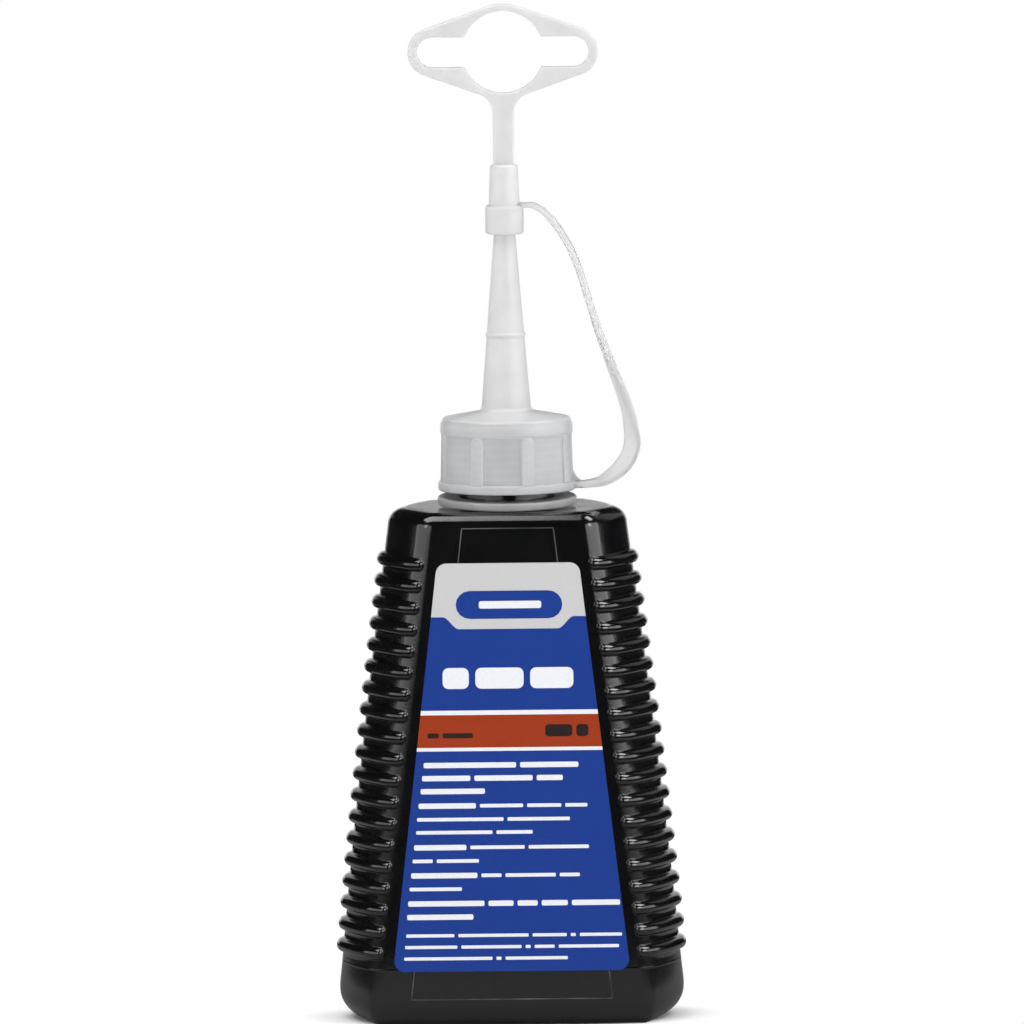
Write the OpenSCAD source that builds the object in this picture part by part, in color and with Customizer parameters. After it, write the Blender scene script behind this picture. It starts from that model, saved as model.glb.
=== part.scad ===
// Graphite lock lubricant bottle: a tapered blow moulded bottle with ribbed grip sides, a loose
// ring on its neck, a screw cap with a long nozzle, and a captive tip closure with a hanger.
// All lengths are in millimetres. The bottle stands on z = 0, its label faces -Y, and the
// neck axis is the Z axis.

/* [Bottle body] */
// Width of the plain wall, carried down to the foot
foot_width = 66.0; // [60:0.5:72]
// Width of the plain wall at the shoulder
shoulder_width = 44.0; // [40:0.5:50]
// Depth from the front panel to the back panel
body_depth = 31.0; // [28:0.5:36]
// Height of the shoulder above the foot
body_height = 96.0; // [94:0.5:104]
// Wall thickness
bottle_wall = 1.1; // [0.8:0.05:1.6]
// Radius of the upright edge beside each flat panel
panel_edge_radius = 3.5; // [3.2:0.1:4.5]
// Radius of the rounded edge along the middle of each side
side_edge_radius = 9.0; // [6:0.5:11]
// Rounding of the foot seen from the front
foot_round_side = 7.25; // [5:0.25:8]
// Height of the rounding under the front panel
foot_round_front = 5.0; // [4:0.25:6]
// How far the foot draws in under the front panel
foot_draw_in = 2.9; // [2:0.1:3]
// Rounding of the shoulder edge
shoulder_round = 2.6; // [2:0.1:3]
// Extra draw-in of the shoulder at the sides
shoulder_side_extra = 0.8; // [0:0.1:2]
// Height of the plain band at the foot
foot_band_height = 10.7; // [9:0.1:11.2]
// How far the plain band leans in towards the foot at the panels
foot_band_lean = 0.25; // [0:0.05:0.5]

/* [Grip ribs] */
// Number of ribs on each side
rib_count = 19; // [5:1:19]
// Distance from one rib to the next
rib_pitch = 4.04; // [3.6:0.01:4.05]
// Height of a rib above the wall
rib_height = 1.3; // [0.6:0.05:1.5]
// Height of the lowest rib above the foot
first_rib_height = 13.8; // [13.5:0.1:15]

/* [Neck] */
// Outer diameter of the neck below its thread
neck_diameter = 17.9; // [16:0.1:18.5]
// Height of the neck above the shoulder
neck_length = 15.3; // [14:0.1:15.6]
// Bore of the neck
neck_bore = 14.9; // [12:0.1:15.2]

/* [Neck ring] */
// Outer diameter of the loose ring
ring_diameter = 26.0; // [24:0.1:28]
// Thickness of the loose ring
ring_thickness = 1.8; // [1.2:0.1:2.2]
// Radial play of the ring on the neck
ring_play = 0.09; // [0.05:0.01:0.1]
// Play between the ring and the shoulder
ring_seat_play = 0.05; // [0.02:0.01:0.1]

/* [Label] */
// Height of the label's lower edge above the foot
label_base_height = 10.4; // [10:0.1:14]
// Height of the label
label_height = 76.4; // [60:0.2:78]
// Width of the label at its lower edge
label_foot_width = 44.2; // [36:0.2:45]
// Width of the label at its upper edge
label_top_width = 26.4; // [20:0.2:27]
// Corner radius of the label
label_corner = 2.0; // [1:0.1:3]
// Thickness of the label film
label_film = 0.12; // [0.08:0.01:0.2]

/* [Contents] */
// Height of the powder above the foot
powder_level = 62.0; // [40:1:80]
// Play between the powder and the wall
powder_play = 0.08; // [0.05:0.01:0.3]

/* [Nozzle cap] */
// Height of the cap's lower edge above the shoulder
cap_gap = 3.1; // [2.6:0.1:4]
// Outer diameter of the flange
flange_diameter = 25.7; // [25:0.1:27]
// Height of the flange
flange_height = 1.7; // [1.2:0.1:2.2]
// Outer diameter at the foot of the skirt
skirt_foot_diameter = 24.9; // [24:0.1:25]
// Outer diameter at the top of the skirt
skirt_top_diameter = 24.2; // [23:0.1:24.5]
// Height from the cap's lower edge to its rim
skirt_height = 13.5; // [13.2:0.1:14.5]
// Corner radius at the rim
rim_round = 0.8; // [0.4:0.1:1.2]
// Rise of the shallow cone from the rim to the nozzle
cone_rise = 1.4; // [0.8:0.1:2]
// Inner diameter of the threaded socket, at the thread's root
socket_diameter = 20.4; // [20:0.1:21]
// Play between the cap's sealing face and the mouth of the neck
seal_play = 0.05; // [0.02:0.01:0.2]
// Number of grip ribs round the cap
grip_count = 8; // [4:1:12]
// Width of a grip rib
grip_width = 2.4; // [1.5:0.1:3]
// Height of a grip rib above the skirt
grip_height = 0.35; // [0.2:0.05:0.6]
// Plain band between the grip ribs and the rim
grip_top_band = 2.9; // [2:0.1:4]
// Turn of the first grip rib from the front
grip_turn = 18.4; // [0:0.2:45]

/* [Nozzle] */
// Outer diameter at the root of the nozzle
nozzle_root_diameter = 9.3; // [8:0.1:10]
// Outer diameter at the tip of the nozzle
nozzle_tip_diameter = 2.3; // [2:0.1:3]
// Length of the nozzle above the cone
nozzle_length = 43.6; // [38:0.2:48]
// Wall of the nozzle at its root
nozzle_wall = 1.3; // [1:0.1:1.6]
// Diameter of the outlet
outlet_diameter = 1.0; // [0.8:0.1:1.2]
// Height of the small bead above the nozzle's root
bead_height = 13.8; // [8:0.2:20]
// How far the bead stands out
bead_rise = 0.25; // [0.1:0.05:0.4]
// Length of the bead along the nozzle
bead_length = 0.7; // [0.4:0.1:1.2]

/* [Tip closure] */
// Radial play of the closure on the nozzle
closure_play = 0.05; // [0.02:0.01:0.08]
// Play between the nozzle's tip and the end of the closure's socket
tip_play = 0.05; // [0.02:0.01:0.2]
// How much of the nozzle the closure covers
closure_cover = 10.7; // [8:0.1:13]
// Outer diameter of the collar
collar_diameter = 7.2; // [6.6:0.1:8]
// Height of the collar
collar_height = 5.4; // [4:0.1:6]
// Corner radius of the collar
collar_round = 0.6; // [0.3:0.1:0.9]
// Outer diameter at the foot of the sleeve
sleeve_foot_diameter = 5.8; // [5.4:0.1:6.2]
// Outer diameter at the top of the sleeve
sleeve_top_diameter = 5.2; // [4.8:0.1:5.3]
// Solid end of the sleeve above its socket
sleeve_end = 2.3; // [1.4:0.1:3]
// Corner radius at the top of the sleeve
sleeve_round = 0.7; // [0.4:0.1:1]

/* [Hanger] */
// Thickness of the flat stem and hanger
hanger_thickness = 2.2; // [1.6:0.1:3]
// Width of the stem
stem_width = 4.0; // [3.4:0.1:4.6]
// Distance from the top of the sleeve to the centre of the hanger hole
hanger_reach = 20.95; // [19:0.05:26]
// Diameter of the hanger hole
hanger_hole = 15.25; // [12:0.05:16]
// Wall above and below the hanger hole
hanger_wall = 1.3; // [1:0.1:2]
// Length of the slot through the hanger hole
slot_length = 32.0; // [26:0.5:33]
// Height of the slot
slot_height = 5.6; // [5:0.1:5.8]
// Wall round the ends of the slot
slot_wall = 1.75; // [1.2:0.05:2.2]
// Radius of the fillets between the stem and the hanger
stem_fillet = 3.7; // [2:0.1:4]

/* [Tether strap] */
// Width of the strap
strap_width = 3.6; // [3:0.1:4.2]
// Thickness of the strap
strap_thickness = 1.35; // [1:0.05:1.5]
// Thickness of the strap where it meets the closure
strap_end_thickness = 0.95; // [0.8:0.05:1.35]
// Greatest turn of the strap about its own line
strap_twist = 44; // [0:1:50]
// How far the strap bows out from the neck axis
strap_reach = 23.5; // [20:0.1:26]
// Length of the lug that joins the strap to the cap's flange
cap_lug_length = 1.6; // [1:0.1:2.4]
// Length of the gusset above the cap's lug
gusset_length = 1.1; // [0.6:0.1:1.4]
// Height of the gusset above the cap's lug
gusset_height = 1.8; // [1:0.1:2.4]
// Thickness of the gusset
gusset_thickness = 1.2; // [0.8:0.1:1.6]
// Length of the lug that joins the strap to the closure
closure_lug_length = 1.3; // [0.8:0.1:2]
// Play between the strap's ends and their lugs
strap_end_play = 0.02; // [0.01:0.01:0.05]

/* [Hidden] */
$fn = 96;
eps = 0.4;          // overrun of every cut
fuse = 0.3;         // depth by which fused pieces run into each other

// Outline of the bottle, which the outer wall, the chamber and the powder all use.
half_depth = body_depth / 2;
edge_turn = 32;      // angle where the panel edge runs into the flank
tip_turn = 16;       // angle where the flank runs into the rounded side edge
edge_limit_share = 0.95;   // an inset takes no more of the panel edge's radius than this
flank_radius = (half_depth - panel_edge_radius * (1 - sin(edge_turn))
    - side_edge_radius * sin(tip_turn)) / (sin(edge_turn) - sin(tip_turn));
side_run = (panel_edge_radius - flank_radius) * cos(edge_turn)
    + (flank_radius - side_edge_radius) * cos(tip_turn) + side_edge_radius;

function arc_in(run, at) = 1 - sqrt(max(0, 1 - pow((run - at) / run, 2)));
function near_foot(z, run) = z < run ? arc_in(run, z) : 0;
function near_top(z) = z > body_height - shoulder_round
    ? arc_in(shoulder_round, body_height - z) : 0;

function half_width(z) = foot_width / 2 - (foot_width - shoulder_width) / 2 * z / body_height;
function draw_in(z) = foot_draw_in * near_foot(z, foot_round_front) + shoulder_round * near_top(z);
function side_in(z) = (foot_round_side - foot_draw_in) * near_foot(z, foot_round_side)
    + shoulder_side_extra * near_top(z);
function lean(z) = foot_band_lean * max(0, foot_band_height - z) / foot_band_height;

// A quarter of the outline as [turn, rib share] from the panel to the middle of the side.
quarter_shares = [
    [90, 0], [85, 0], [74, 0.75], [60, 1], [46, 1],
    [edge_turn, 1], [24, 1], [tip_turn, 1], [8, 1], [0, 1]
];
quarter_last = len(quarter_shares) - 1;

// One point of the quarter outline, measured from the end of the flat panel.
function quarter_point(turn, inset, bump) =
    turn >= edge_turn
    ? [(panel_edge_radius - inset + bump) * cos(turn),
       half_depth - panel_edge_radius + (panel_edge_radius - inset + bump) * sin(turn)]
    : turn >= tip_turn
    ? [(panel_edge_radius - flank_radius) * cos(edge_turn)
         + (flank_radius - inset + bump) * cos(turn),
       half_depth - panel_edge_radius + (panel_edge_radius - flank_radius) * sin(edge_turn)
         + (flank_radius - inset + bump) * sin(turn)]
    : [side_run - side_edge_radius + (side_edge_radius - inset + bump) * cos(turn),
       (side_edge_radius - inset + bump) * sin(turn)];

// A whole ring of points at one height: right side from front to back, then the left side.
function ring_point(z, inset, rib, q, sx, sy) =
    let (
        all_in = min(inset + draw_in(z), panel_edge_radius * edge_limit_share),
        p = quarter_point(quarter_shares[q][0], all_in, rib * quarter_shares[q][1]),
        squeeze = 1 - side_in(z) / side_run,
        flat = half_width(z) - side_run,
        deep = (half_depth - lean(z)) / half_depth
    )
    [sx * (flat + p[0] * squeeze), sy * p[1] * deep, z];

function ring(z, inset, rib) = [
    for (q = [0 : quarter_last]) ring_point(z, inset, rib, q, 1, -1),
    for (q = [quarter_last - 1 : -1 : 0]) ring_point(z, inset, rib, q, 1, 1),
    for (q = [0 : quarter_last]) ring_point(z, inset, rib, q, -1, 1),
    for (q = [quarter_last - 1 : -1 : 0]) ring_point(z, inset, rib, q, -1, -1)
];

// Closed skin through a stack of rings.
module skin(rings) {
    n = len(rings[0]);
    last = len(rings) - 1;
    polyhedron(
        points = [for (r = rings) for (p = r) p],
        faces = concat(
            [[for (i = [0 : n - 1]) i]],
            [[for (i = [n - 1 : -1 : 0]) last * n + i]],
            [for (k = [0 : last - 1]) for (i = [0 : n - 1])
                [k * n + i, (k + 1) * n + i, k * n + (i + 1) % n]],
            [for (k = [0 : last - 1]) for (i = [0 : n - 1])
                [(k + 1) * n + i, (k + 1) * n + (i + 1) % n, k * n + (i + 1) % n]]
        ),
        convexity = 10
    );
}

// Heights of the rings of the outer wall, each with its rib height.
foot_steps = 5;
top_steps = 4;
// Rounded profile of a rib: heights above and below its middle, as shares of the pitch.
rib_foot_share = 0.37;
rib_flank_share = 0.27;
rib_crest_share = 0.1;
rib_flank_rise_share = 0.5;
rib_list = [for (k = [0 : rib_count - 1]) first_rib_height + k * rib_pitch];
outer_levels = concat(
    [for (k = [0 : foot_steps]) [foot_round_side * (1 - cos(90 * k / foot_steps)), 0]],
    [[foot_band_height, 0]],
    [for (z = rib_list) each [
        [z - rib_pitch * rib_foot_share, 0],
        [z - rib_pitch * rib_flank_share, rib_height * rib_flank_rise_share],
        [z - rib_pitch * rib_crest_share, rib_height],
        [z + rib_pitch * rib_crest_share, rib_height],
        [z + rib_pitch * rib_flank_share, rib_height * rib_flank_rise_share],
        [z + rib_pitch * rib_foot_share, 0]
    ]],
    [for (k = [0 : top_steps])
        [body_height - shoulder_round * (1 - sin(90 * k / top_steps)), 0]]
);

// Inner wall and contents: the plain outline set in by the wall, up to a given height.
function inner_levels(top) = concat(
    [for (k = [0 : foot_steps]) foot_round_side * (1 - cos(90 * k / foot_steps))],
    [foot_band_height, (foot_band_height + top) / 2, top]
);
module inner_space(inset, top) {
    skin([
        for (z = inner_levels(top))
            [for (p = ring(z, inset, 0)) [p[0], p[1], inset + z * (top - inset) / top]]
    ]);
}

// Heights up the neck axis, from the shoulder to the hanger hole.
shoulder_z = body_height;
ring_z = shoulder_z + ring_seat_play;
neck_top_z = shoulder_z + neck_length;
cap_z = shoulder_z + cap_gap;
rim_z = cap_z + skirt_height;
seal_z = neck_top_z + seal_play;
nozzle_z = rim_z + cone_rise;
nozzle_slope = (nozzle_root_diameter - nozzle_tip_diameter) / 2 / nozzle_length;
tip_z = nozzle_z + nozzle_length;
collar_z = tip_z - closure_cover;
sleeve_z = collar_z + collar_height;
socket_end_z = tip_z + tip_play;
sleeve_top_z = socket_end_z + sleeve_end;
hole_z = sleeve_top_z + hanger_reach;

function nozzle_radius(z) = nozzle_root_diameter / 2 - nozzle_slope * (z - nozzle_z);

// The bottle: outer wall and neck, less the chamber and the bore of the neck.
module bottle() {
    color([0.05, 0.05, 0.055])
    difference() {
        union() {
            skin([for (l = outer_levels) ring(l[0], 0, l[1])]);
            translate([0, 0, shoulder_z - bottle_wall])
                cylinder(h = neck_length + bottle_wall, d = neck_diameter);
        }
        chamber();
        translate([0, 0, shoulder_z - bottle_wall - eps])
            cylinder(h = neck_length + bottle_wall + 2 * eps, d = neck_bore);
    }
}

// The space inside the bottle: its foot keeps the wall, its top stops a wall below the shoulder.
module chamber() {
    inner_space(bottle_wall, shoulder_z - bottle_wall);
}

// The loose ring that lies on the shoulder.
module neck_ring() {
    color([0.78, 0.79, 0.79])
    translate([0, 0, ring_z])
    difference() {
        cylinder(h = ring_thickness, d = ring_diameter);
        translate([0, 0, -eps])
            cylinder(h = ring_thickness + 2 * eps, d = neck_diameter + 2 * ring_play);
    }
}

// The label on the front panel.
function label_half(h) = label_foot_width / 2
    - (label_foot_width - label_top_width) / 2 * h / label_height;
label_slope = atan((label_foot_width - label_top_width) / 2 / label_height);

// Outline of the label: a trapezoid with rounded corners, drawn in x and height.
module label_outline() {
    foot_x = label_half(0) - label_corner / tan((90 - label_slope) / 2);
    top_x = label_half(label_height) - label_corner / tan((90 + label_slope) / 2);
    corners = [
        [-foot_x, label_corner], [foot_x, label_corner],
        [top_x, label_height - label_corner], [-top_x, label_height - label_corner]
    ];
    for (p = corners)
        translate(p)
            circle(r = label_corner);
    nx = label_corner * cos(label_slope);
    ny = label_corner * sin(label_slope);
    polygon([
        [-foot_x, 0], [foot_x, 0],
        [foot_x + nx, label_corner + ny], [top_x + nx, label_height - label_corner + ny],
        [top_x, label_height], [-top_x, label_height],
        [-top_x - nx, label_height - label_corner + ny], [-foot_x - nx, label_corner + ny]
    ]);
}

module front_label() {
    color([0.14, 0.26, 0.6])
    translate([0, -half_depth, label_base_height])
    rotate([90, 0, 0])
    linear_extrude(height = label_film)
        label_outline();
}

// The powder in the chamber.
module graphite_powder() {
    color([0.2, 0.2, 0.21])
        inner_space(bottle_wall + powder_play, powder_level);
}

// The screw cap: skirt, flange, shallow cone, grip ribs, nozzle and strap lug in one piece.
function skirt_radius(h) = skirt_foot_diameter / 2
    - (skirt_foot_diameter - skirt_top_diameter) / 2 * h / skirt_height;

module cap_profile() {
    flange_r = flange_diameter / 2;
    top_r = skirt_top_diameter / 2;
    polygon([
        [socket_diameter / 2, 0], [flange_r, 0], [flange_r, flange_height],
        [skirt_radius(flange_height), flange_height],
        [skirt_radius(skirt_height - rim_round), skirt_height - rim_round],
        [top_r - rim_round * (1 - sin(45)), skirt_height - rim_round * (1 - sin(45))],
        [top_r - rim_round, skirt_height],
        [nozzle_root_diameter / 2, skirt_height + cone_rise],
        [0, skirt_height + cone_rise],
        [0, seal_z - cap_z],
        [socket_diameter / 2, seal_z - cap_z]
    ]);
}

module nozzle_cap() {
    grip_foot = flange_height - fuse;
    grip_top = skirt_height - grip_top_band;
    color([0.88, 0.88, 0.88])
    difference() {
        union() {
            translate([0, 0, cap_z])
                rotate_extrude()
                    cap_profile();
            for (k = [0 : grip_count - 1])
                translate([0, 0, cap_z])
                    rotate([0, 0, -90 + grip_turn + 360 * k / grip_count])
                        grip(grip_foot, grip_top);
            translate([0, 0, nozzle_z - fuse])
                cylinder(h = nozzle_length + fuse, r1 = nozzle_radius(nozzle_z - fuse),
                    r2 = nozzle_tip_diameter / 2);
            translate([0, 0, nozzle_z + bead_height])
                cylinder(h = bead_length, r = nozzle_radius(nozzle_z + bead_height) + bead_rise);
            cap_lug();
        }
        nozzle_bore();
    }
}

// One grip rib: a bar laid on the skirt, with rounded outer edges and a rounded top end.
module grip(foot, top) {
    inner = skirt_radius(foot) - grip_height - fuse;
    outer = skirt_radius(foot) + grip_height;
    intersection() {
        rotate_extrude()
            polygon([
                [inner, foot], [outer, foot],
                [skirt_radius(top) + grip_height, top - grip_height],
                [skirt_radius(top), top], [inner, top]
            ]);
        union() {
            translate([inner, -grip_width / 2, foot])
                cube([outer - inner + eps, grip_width, top - foot - grip_width / 2]);
            translate([inner, 0, top - grip_width / 2])
                rotate([0, 90, 0])
                    cylinder(h = outer - inner + eps, d = grip_width);
        }
    }
}

// Lug on the flange where the strap starts, with a small gusset above it.
module cap_lug() {
    start = skirt_foot_diameter / 2 - fuse;
    end = flange_diameter / 2 + cap_lug_length;
    low_z = cap_z + (flange_height - strap_thickness) / 2;
    gusset_end = flange_diameter / 2 + gusset_length;
    translate([start, -strap_width / 2, low_z])
        cube([end - start, strap_width, strap_thickness]);
    translate([0, gusset_thickness / 2, low_z + strap_thickness])
        rotate([90, 0, 0])
            linear_extrude(height = gusset_thickness)
                polygon([
                    [start, -fuse], [gusset_end, -fuse], [gusset_end, 0],
                    [start + fuse, gusset_height], [start, gusset_height]
                ]);
}

// Tapered way from the neck to the outlet.
module nozzle_bore() {
    way_top = tip_z - closure_cover;
    way_r = nozzle_root_diameter / 2 - nozzle_wall;
    translate([0, 0, seal_z - eps])
        cylinder(h = nozzle_z - seal_z + 2 * eps, r = way_r);
    translate([0, 0, nozzle_z])
        cylinder(h = way_top - nozzle_z + fuse, r1 = way_r, r2 = outlet_diameter / 2);
    translate([0, 0, way_top])
        cylinder(h = tip_z - way_top + eps, d = outlet_diameter);
}

// The tip closure: collar, sleeve, stem and hanger in one piece.
module closure_profile() {
    cr = collar_diameter / 2;
    sf = sleeve_foot_diameter / 2;
    st = sleeve_top_diameter / 2;
    polygon([
        [0, collar_z], [cr - collar_round, collar_z],
        [cr - collar_round * (1 - sin(45)), collar_z + collar_round * (1 - sin(45))],
        [cr, collar_z + collar_round], [cr, sleeve_z - collar_round],
        [cr - collar_round * (1 - sin(45)), sleeve_z - collar_round * (1 - sin(45))],
        [cr - collar_round, sleeve_z], [sf, sleeve_z],
        [st, sleeve_top_z - sleeve_round],
        [st - sleeve_round * (1 - sin(45)), sleeve_top_z - sleeve_round * (1 - sin(45))],
        [st - sleeve_round, sleeve_top_z], [0, sleeve_top_z]
    ]);
}

// Outline of the hanger and its stem, drawn in x and height from the centre of the hole.
module hanger_outline() {
    big = hanger_hole / 2 + hanger_wall;
    small = slot_height / 2 + slot_wall;
    end_x = slot_length / 2 + slot_wall - small;
    lean_turn = acos((big - small) / end_x);
    nx = cos(lean_turn);
    nz = sin(lean_turn);
    fillet_x = stem_width / 2 + stem_fillet;
    fillet_z = -(big + stem_fillet - nx * fillet_x) / nz;
    circle(r = big);
    for (s = [-1, 1])
        translate([s * end_x, 0])
            circle(r = small);
    polygon([
        [big * nx, big * nz], [end_x + small * nx, small * nz],
        [end_x + small * nx, -small * nz], [big * nx, -big * nz],
        [-big * nx, -big * nz], [-end_x - small * nx, -small * nz],
        [-end_x - small * nx, small * nz], [-big * nx, big * nz]
    ]);
    translate([-stem_width / 2, -hanger_reach - fuse])
        square([stem_width, hanger_reach + fuse - hanger_hole / 2]);
    for (s = [-1, 1])
        difference() {
            polygon([
                [0, fillet_z], [s * stem_width / 2, fillet_z], [s * fillet_x, fillet_z],
                [s * (fillet_x - stem_fillet * nx), fillet_z + stem_fillet * nz],
                [0, fillet_z + stem_fillet * nz]
            ]);
            translate([s * fillet_x, fillet_z])
                circle(r = stem_fillet);
        }
}

module hanger_cuts() {
    circle(d = hanger_hole);
    translate([-slot_length / 2 + slot_height / 2, -slot_height / 2])
        square([slot_length - slot_height, slot_height]);
    for (s = [-1, 1])
        translate([s * (slot_length - slot_height) / 2, 0])
            circle(d = slot_height);
}

module tip_closure() {
    color([0.9, 0.9, 0.9])
    difference() {
        union() {
            rotate_extrude()
                closure_profile();
            translate([0, hanger_thickness / 2, hole_z])
                rotate([90, 0, 0])
                    linear_extrude(height = hanger_thickness)
                        difference() {
                            hanger_outline();
                            hanger_cuts();
                        }
            closure_lug();
        }
        translate([0, 0, collar_z - eps])
            cylinder(h = socket_end_z - collar_z + eps,
                r1 = nozzle_radius(collar_z - eps) + closure_play,
                r2 = nozzle_radius(socket_end_z) + closure_play);
    }
}

// Lug at the top of the collar where the strap ends.
module closure_lug() {
    start = sleeve_foot_diameter / 2 - fuse;
    end = collar_diameter / 2 + closure_lug_length;
    translate([start, -strap_width / 2, sleeve_z - strap_end_thickness / 2])
        cube([end - start, strap_width, strap_end_thickness]);
}

// The strap from the cap to the closure.
strap_start = [flange_diameter / 2 + cap_lug_length + strap_end_play, cap_z + flange_height / 2];
strap_end = [collar_diameter / 2 + closure_lug_length + strap_end_play, sleeve_z];
strap_rise = strap_end[1] - strap_start[1];

// Route of the strap's middle line: out from the cap, then up and in to the closure.
// Each entry holds the share of the bow, the share of the rise and the share of the twist.
outward_shares = [
    [0.32, -0.005, 0.12], [0.52, 0.014, 0.34], [0.70, 0.040, 0.62], [0.87, 0.070, 0.86],
    [0.96, 0.102, 1.00], [1.00, 0.145, 0.96]
];
inward_shares = [
    [0.985, 0.208, 0.78], [0.952, 0.268, 0.60], [0.898, 0.326, 0.48], [0.839, 0.383, 0.40],
    [0.779, 0.441, 0.31], [0.719, 0.498, 0.22], [0.660, 0.556, 0.14], [0.611, 0.614, 0.07],
    [0.564, 0.670, 0.02], [0.516, 0.727, 0], [0.463, 0.785, 0], [0.398, 0.842, 0],
    [0.318, 0.893, 0], [0.240, 0.934, 0], [0.150, 0.970, 0], [0.065, 0.992, 0]
];
route_points = concat(
    [[strap_start[0], strap_start[1], 0]],
    [for (s = outward_shares)
        [strap_start[0] + (strap_reach - strap_start[0]) * s[0],
         strap_start[1] + strap_rise * s[1], strap_twist * s[2]]],
    [for (s = inward_shares)
        [strap_end[0] + (strap_reach - strap_end[0]) * s[0],
         strap_start[1] + strap_rise * s[1], strap_twist * s[2]]],
    [[strap_end[0], strap_end[1], 0]]
);
route_last = len(route_points) - 1;

// Smooth curve through four neighbouring points, from the second to the third.
function curve(a, b, c, d, t) = (2 * b + (c - a) * t + (2 * a - 5 * b + 4 * c - d) * t * t
    + (3 * b - a - 3 * c + d) * t * t * t) / 2;
function route_at(k) =
    k < 0 ? 2 * route_points[0] - route_points[1]
    : k > route_last ? 2 * route_points[route_last] - route_points[route_last - 1]
    : route_points[k];
strap_steps = 2;
route = concat(
    [for (k = [0 : route_last - 1]) for (j = [0 : strap_steps - 1])
        curve(route_at(k - 1), route_at(k), route_at(k + 1), route_at(k + 2), j / strap_steps)],
    [route_points[route_last]]
);
strap_rings = len(route);

// Section of the strap: a flat band with rounded edges, as shares of its width and thickness.
section_shares = [
    [0.5, -0.18], [0.36, -0.5], [-0.36, -0.5], [-0.5, -0.18],
    [-0.5, 0.18], [-0.36, 0.5], [0.36, 0.5], [0.5, 0.18]
];
thin_from_share = 0.88;   // place along the route where the strap starts to thin

function strap_depth(k) = lookup(k / (strap_rings - 1),
    [[0, strap_thickness], [thin_from_share, strap_thickness], [1, strap_end_thickness]]);
function tangent(k) =
    k == 0 ? [1, 0]
    : k == strap_rings - 1 ? [-1, 0]
    : let (v = [route[k + 1][0] - route[k - 1][0], route[k + 1][1] - route[k - 1][1]])
        v / norm(v);

function strap_ring(k) =
    let (
        t = tangent(k),
        w = route[k][2],
        across = [-t[1] * sin(w), cos(w), t[0] * sin(w)],
        through = [t[1] * cos(w), sin(w), -t[0] * cos(w)]
    )
    [for (s = section_shares)
        [route[k][0], 0, route[k][1]] + across * s[0] * strap_width
            + through * s[1] * strap_depth(k)];

module tether_strap() {
    color([0.86, 0.86, 0.85])
    skin([for (k = [0 : strap_rings - 1]) strap_ring(k)]);
}

bottle();
neck_ring();
front_label();
graphite_powder();
nozzle_cap();
tip_closure();
tether_strap();
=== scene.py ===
"""Looks of the powder bottle: black ribbed bottle, natural polyethylene screw cap with its nozzle,
captive tip closure with a hanger, loose neck ring, printed film label and graphite contents.

Lengths are millimetres while a piece is made, and metres once it is a mesh and in the studio.
"""

import math

import bmesh
import bpy
from mathutils import Matrix, Quaternion, Vector


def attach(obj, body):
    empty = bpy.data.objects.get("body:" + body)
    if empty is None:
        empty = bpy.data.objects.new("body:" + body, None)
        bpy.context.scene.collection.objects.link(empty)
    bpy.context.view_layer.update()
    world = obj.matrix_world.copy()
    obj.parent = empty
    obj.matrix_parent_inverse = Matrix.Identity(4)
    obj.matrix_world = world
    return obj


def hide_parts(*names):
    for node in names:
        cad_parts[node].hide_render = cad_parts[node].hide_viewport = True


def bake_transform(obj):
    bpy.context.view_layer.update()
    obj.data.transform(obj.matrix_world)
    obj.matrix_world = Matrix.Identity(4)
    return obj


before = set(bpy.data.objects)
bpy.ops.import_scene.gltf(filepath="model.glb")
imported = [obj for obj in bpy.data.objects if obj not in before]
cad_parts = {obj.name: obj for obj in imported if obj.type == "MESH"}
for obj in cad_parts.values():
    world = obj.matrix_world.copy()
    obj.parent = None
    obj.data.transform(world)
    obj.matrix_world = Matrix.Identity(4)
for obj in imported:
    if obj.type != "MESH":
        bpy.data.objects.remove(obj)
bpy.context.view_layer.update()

MM = 0.001
FRAME_PIXELS = 1024           # side of the photograph
MM_PER_PIXEL = 0.1869         # at the neck axis


# ---------------------------------------------------------------------------------------------
# Sizes in millimetres, those of the part's source. The ring's thickness and tilt, the rib noses, the
# cap's proud band and the threads are looks of their own.
# ---------------------------------------------------------------------------------------------
FOOT_WIDTH, SHOULDER_WIDTH, BODY_DEPTH, BODY_HEIGHT = 66.0, 44.0, 31.0, 96.0
BOTTLE_WALL, PANEL_EDGE, SIDE_EDGE = 1.1, 3.5, 9.0
FOOT_ROUND_SIDE, FOOT_ROUND_FRONT, FOOT_DRAW_IN = 7.25, 5.0, 2.9
SHOULDER_ROUND, SHOULDER_SIDE_EXTRA = 2.6, 0.8
FOOT_BAND_HEIGHT, FOOT_BAND_LEAN = 10.7, 0.25
RIB_COUNT, RIB_PITCH, FIRST_RIB = 19, 4.04, 13.8
BEAD_RADIUS, BEAD_SLIM, BEAD_FOOT = 1.26, 0.09, 0.09
NOSE_LENGTH, RIB_SINK, SIDE_BULGE = 0.75, 0.18, 0.42
NECK_RADIUS, NECK_BORE_RADIUS, NECK_LENGTH = 8.95, 7.45, 15.3
RING_RADIUS, RING_THICKNESS, RING_HOLE_RADIUS, RING_Z, RING_TILT = 13.0, 1.5, 9.04, 96.05, 1.8
LABEL_Z, LABEL_HEIGHT, LABEL_FOOT, LABEL_TOP, LABEL_CORNER = 10.4, 76.4, 44.2, 26.4, 2.0
CAP_Z, CAP_HEIGHT, CONE_RISE = 99.1, 13.5, 1.4
FLANGE_RADIUS, FLANGE_HEIGHT = 12.85, 1.7
SKIRT_FOOT_RADIUS, SKIRT_TOP_RADIUS, SOCKET_RADIUS = 12.45, 12.1, 10.2
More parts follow.
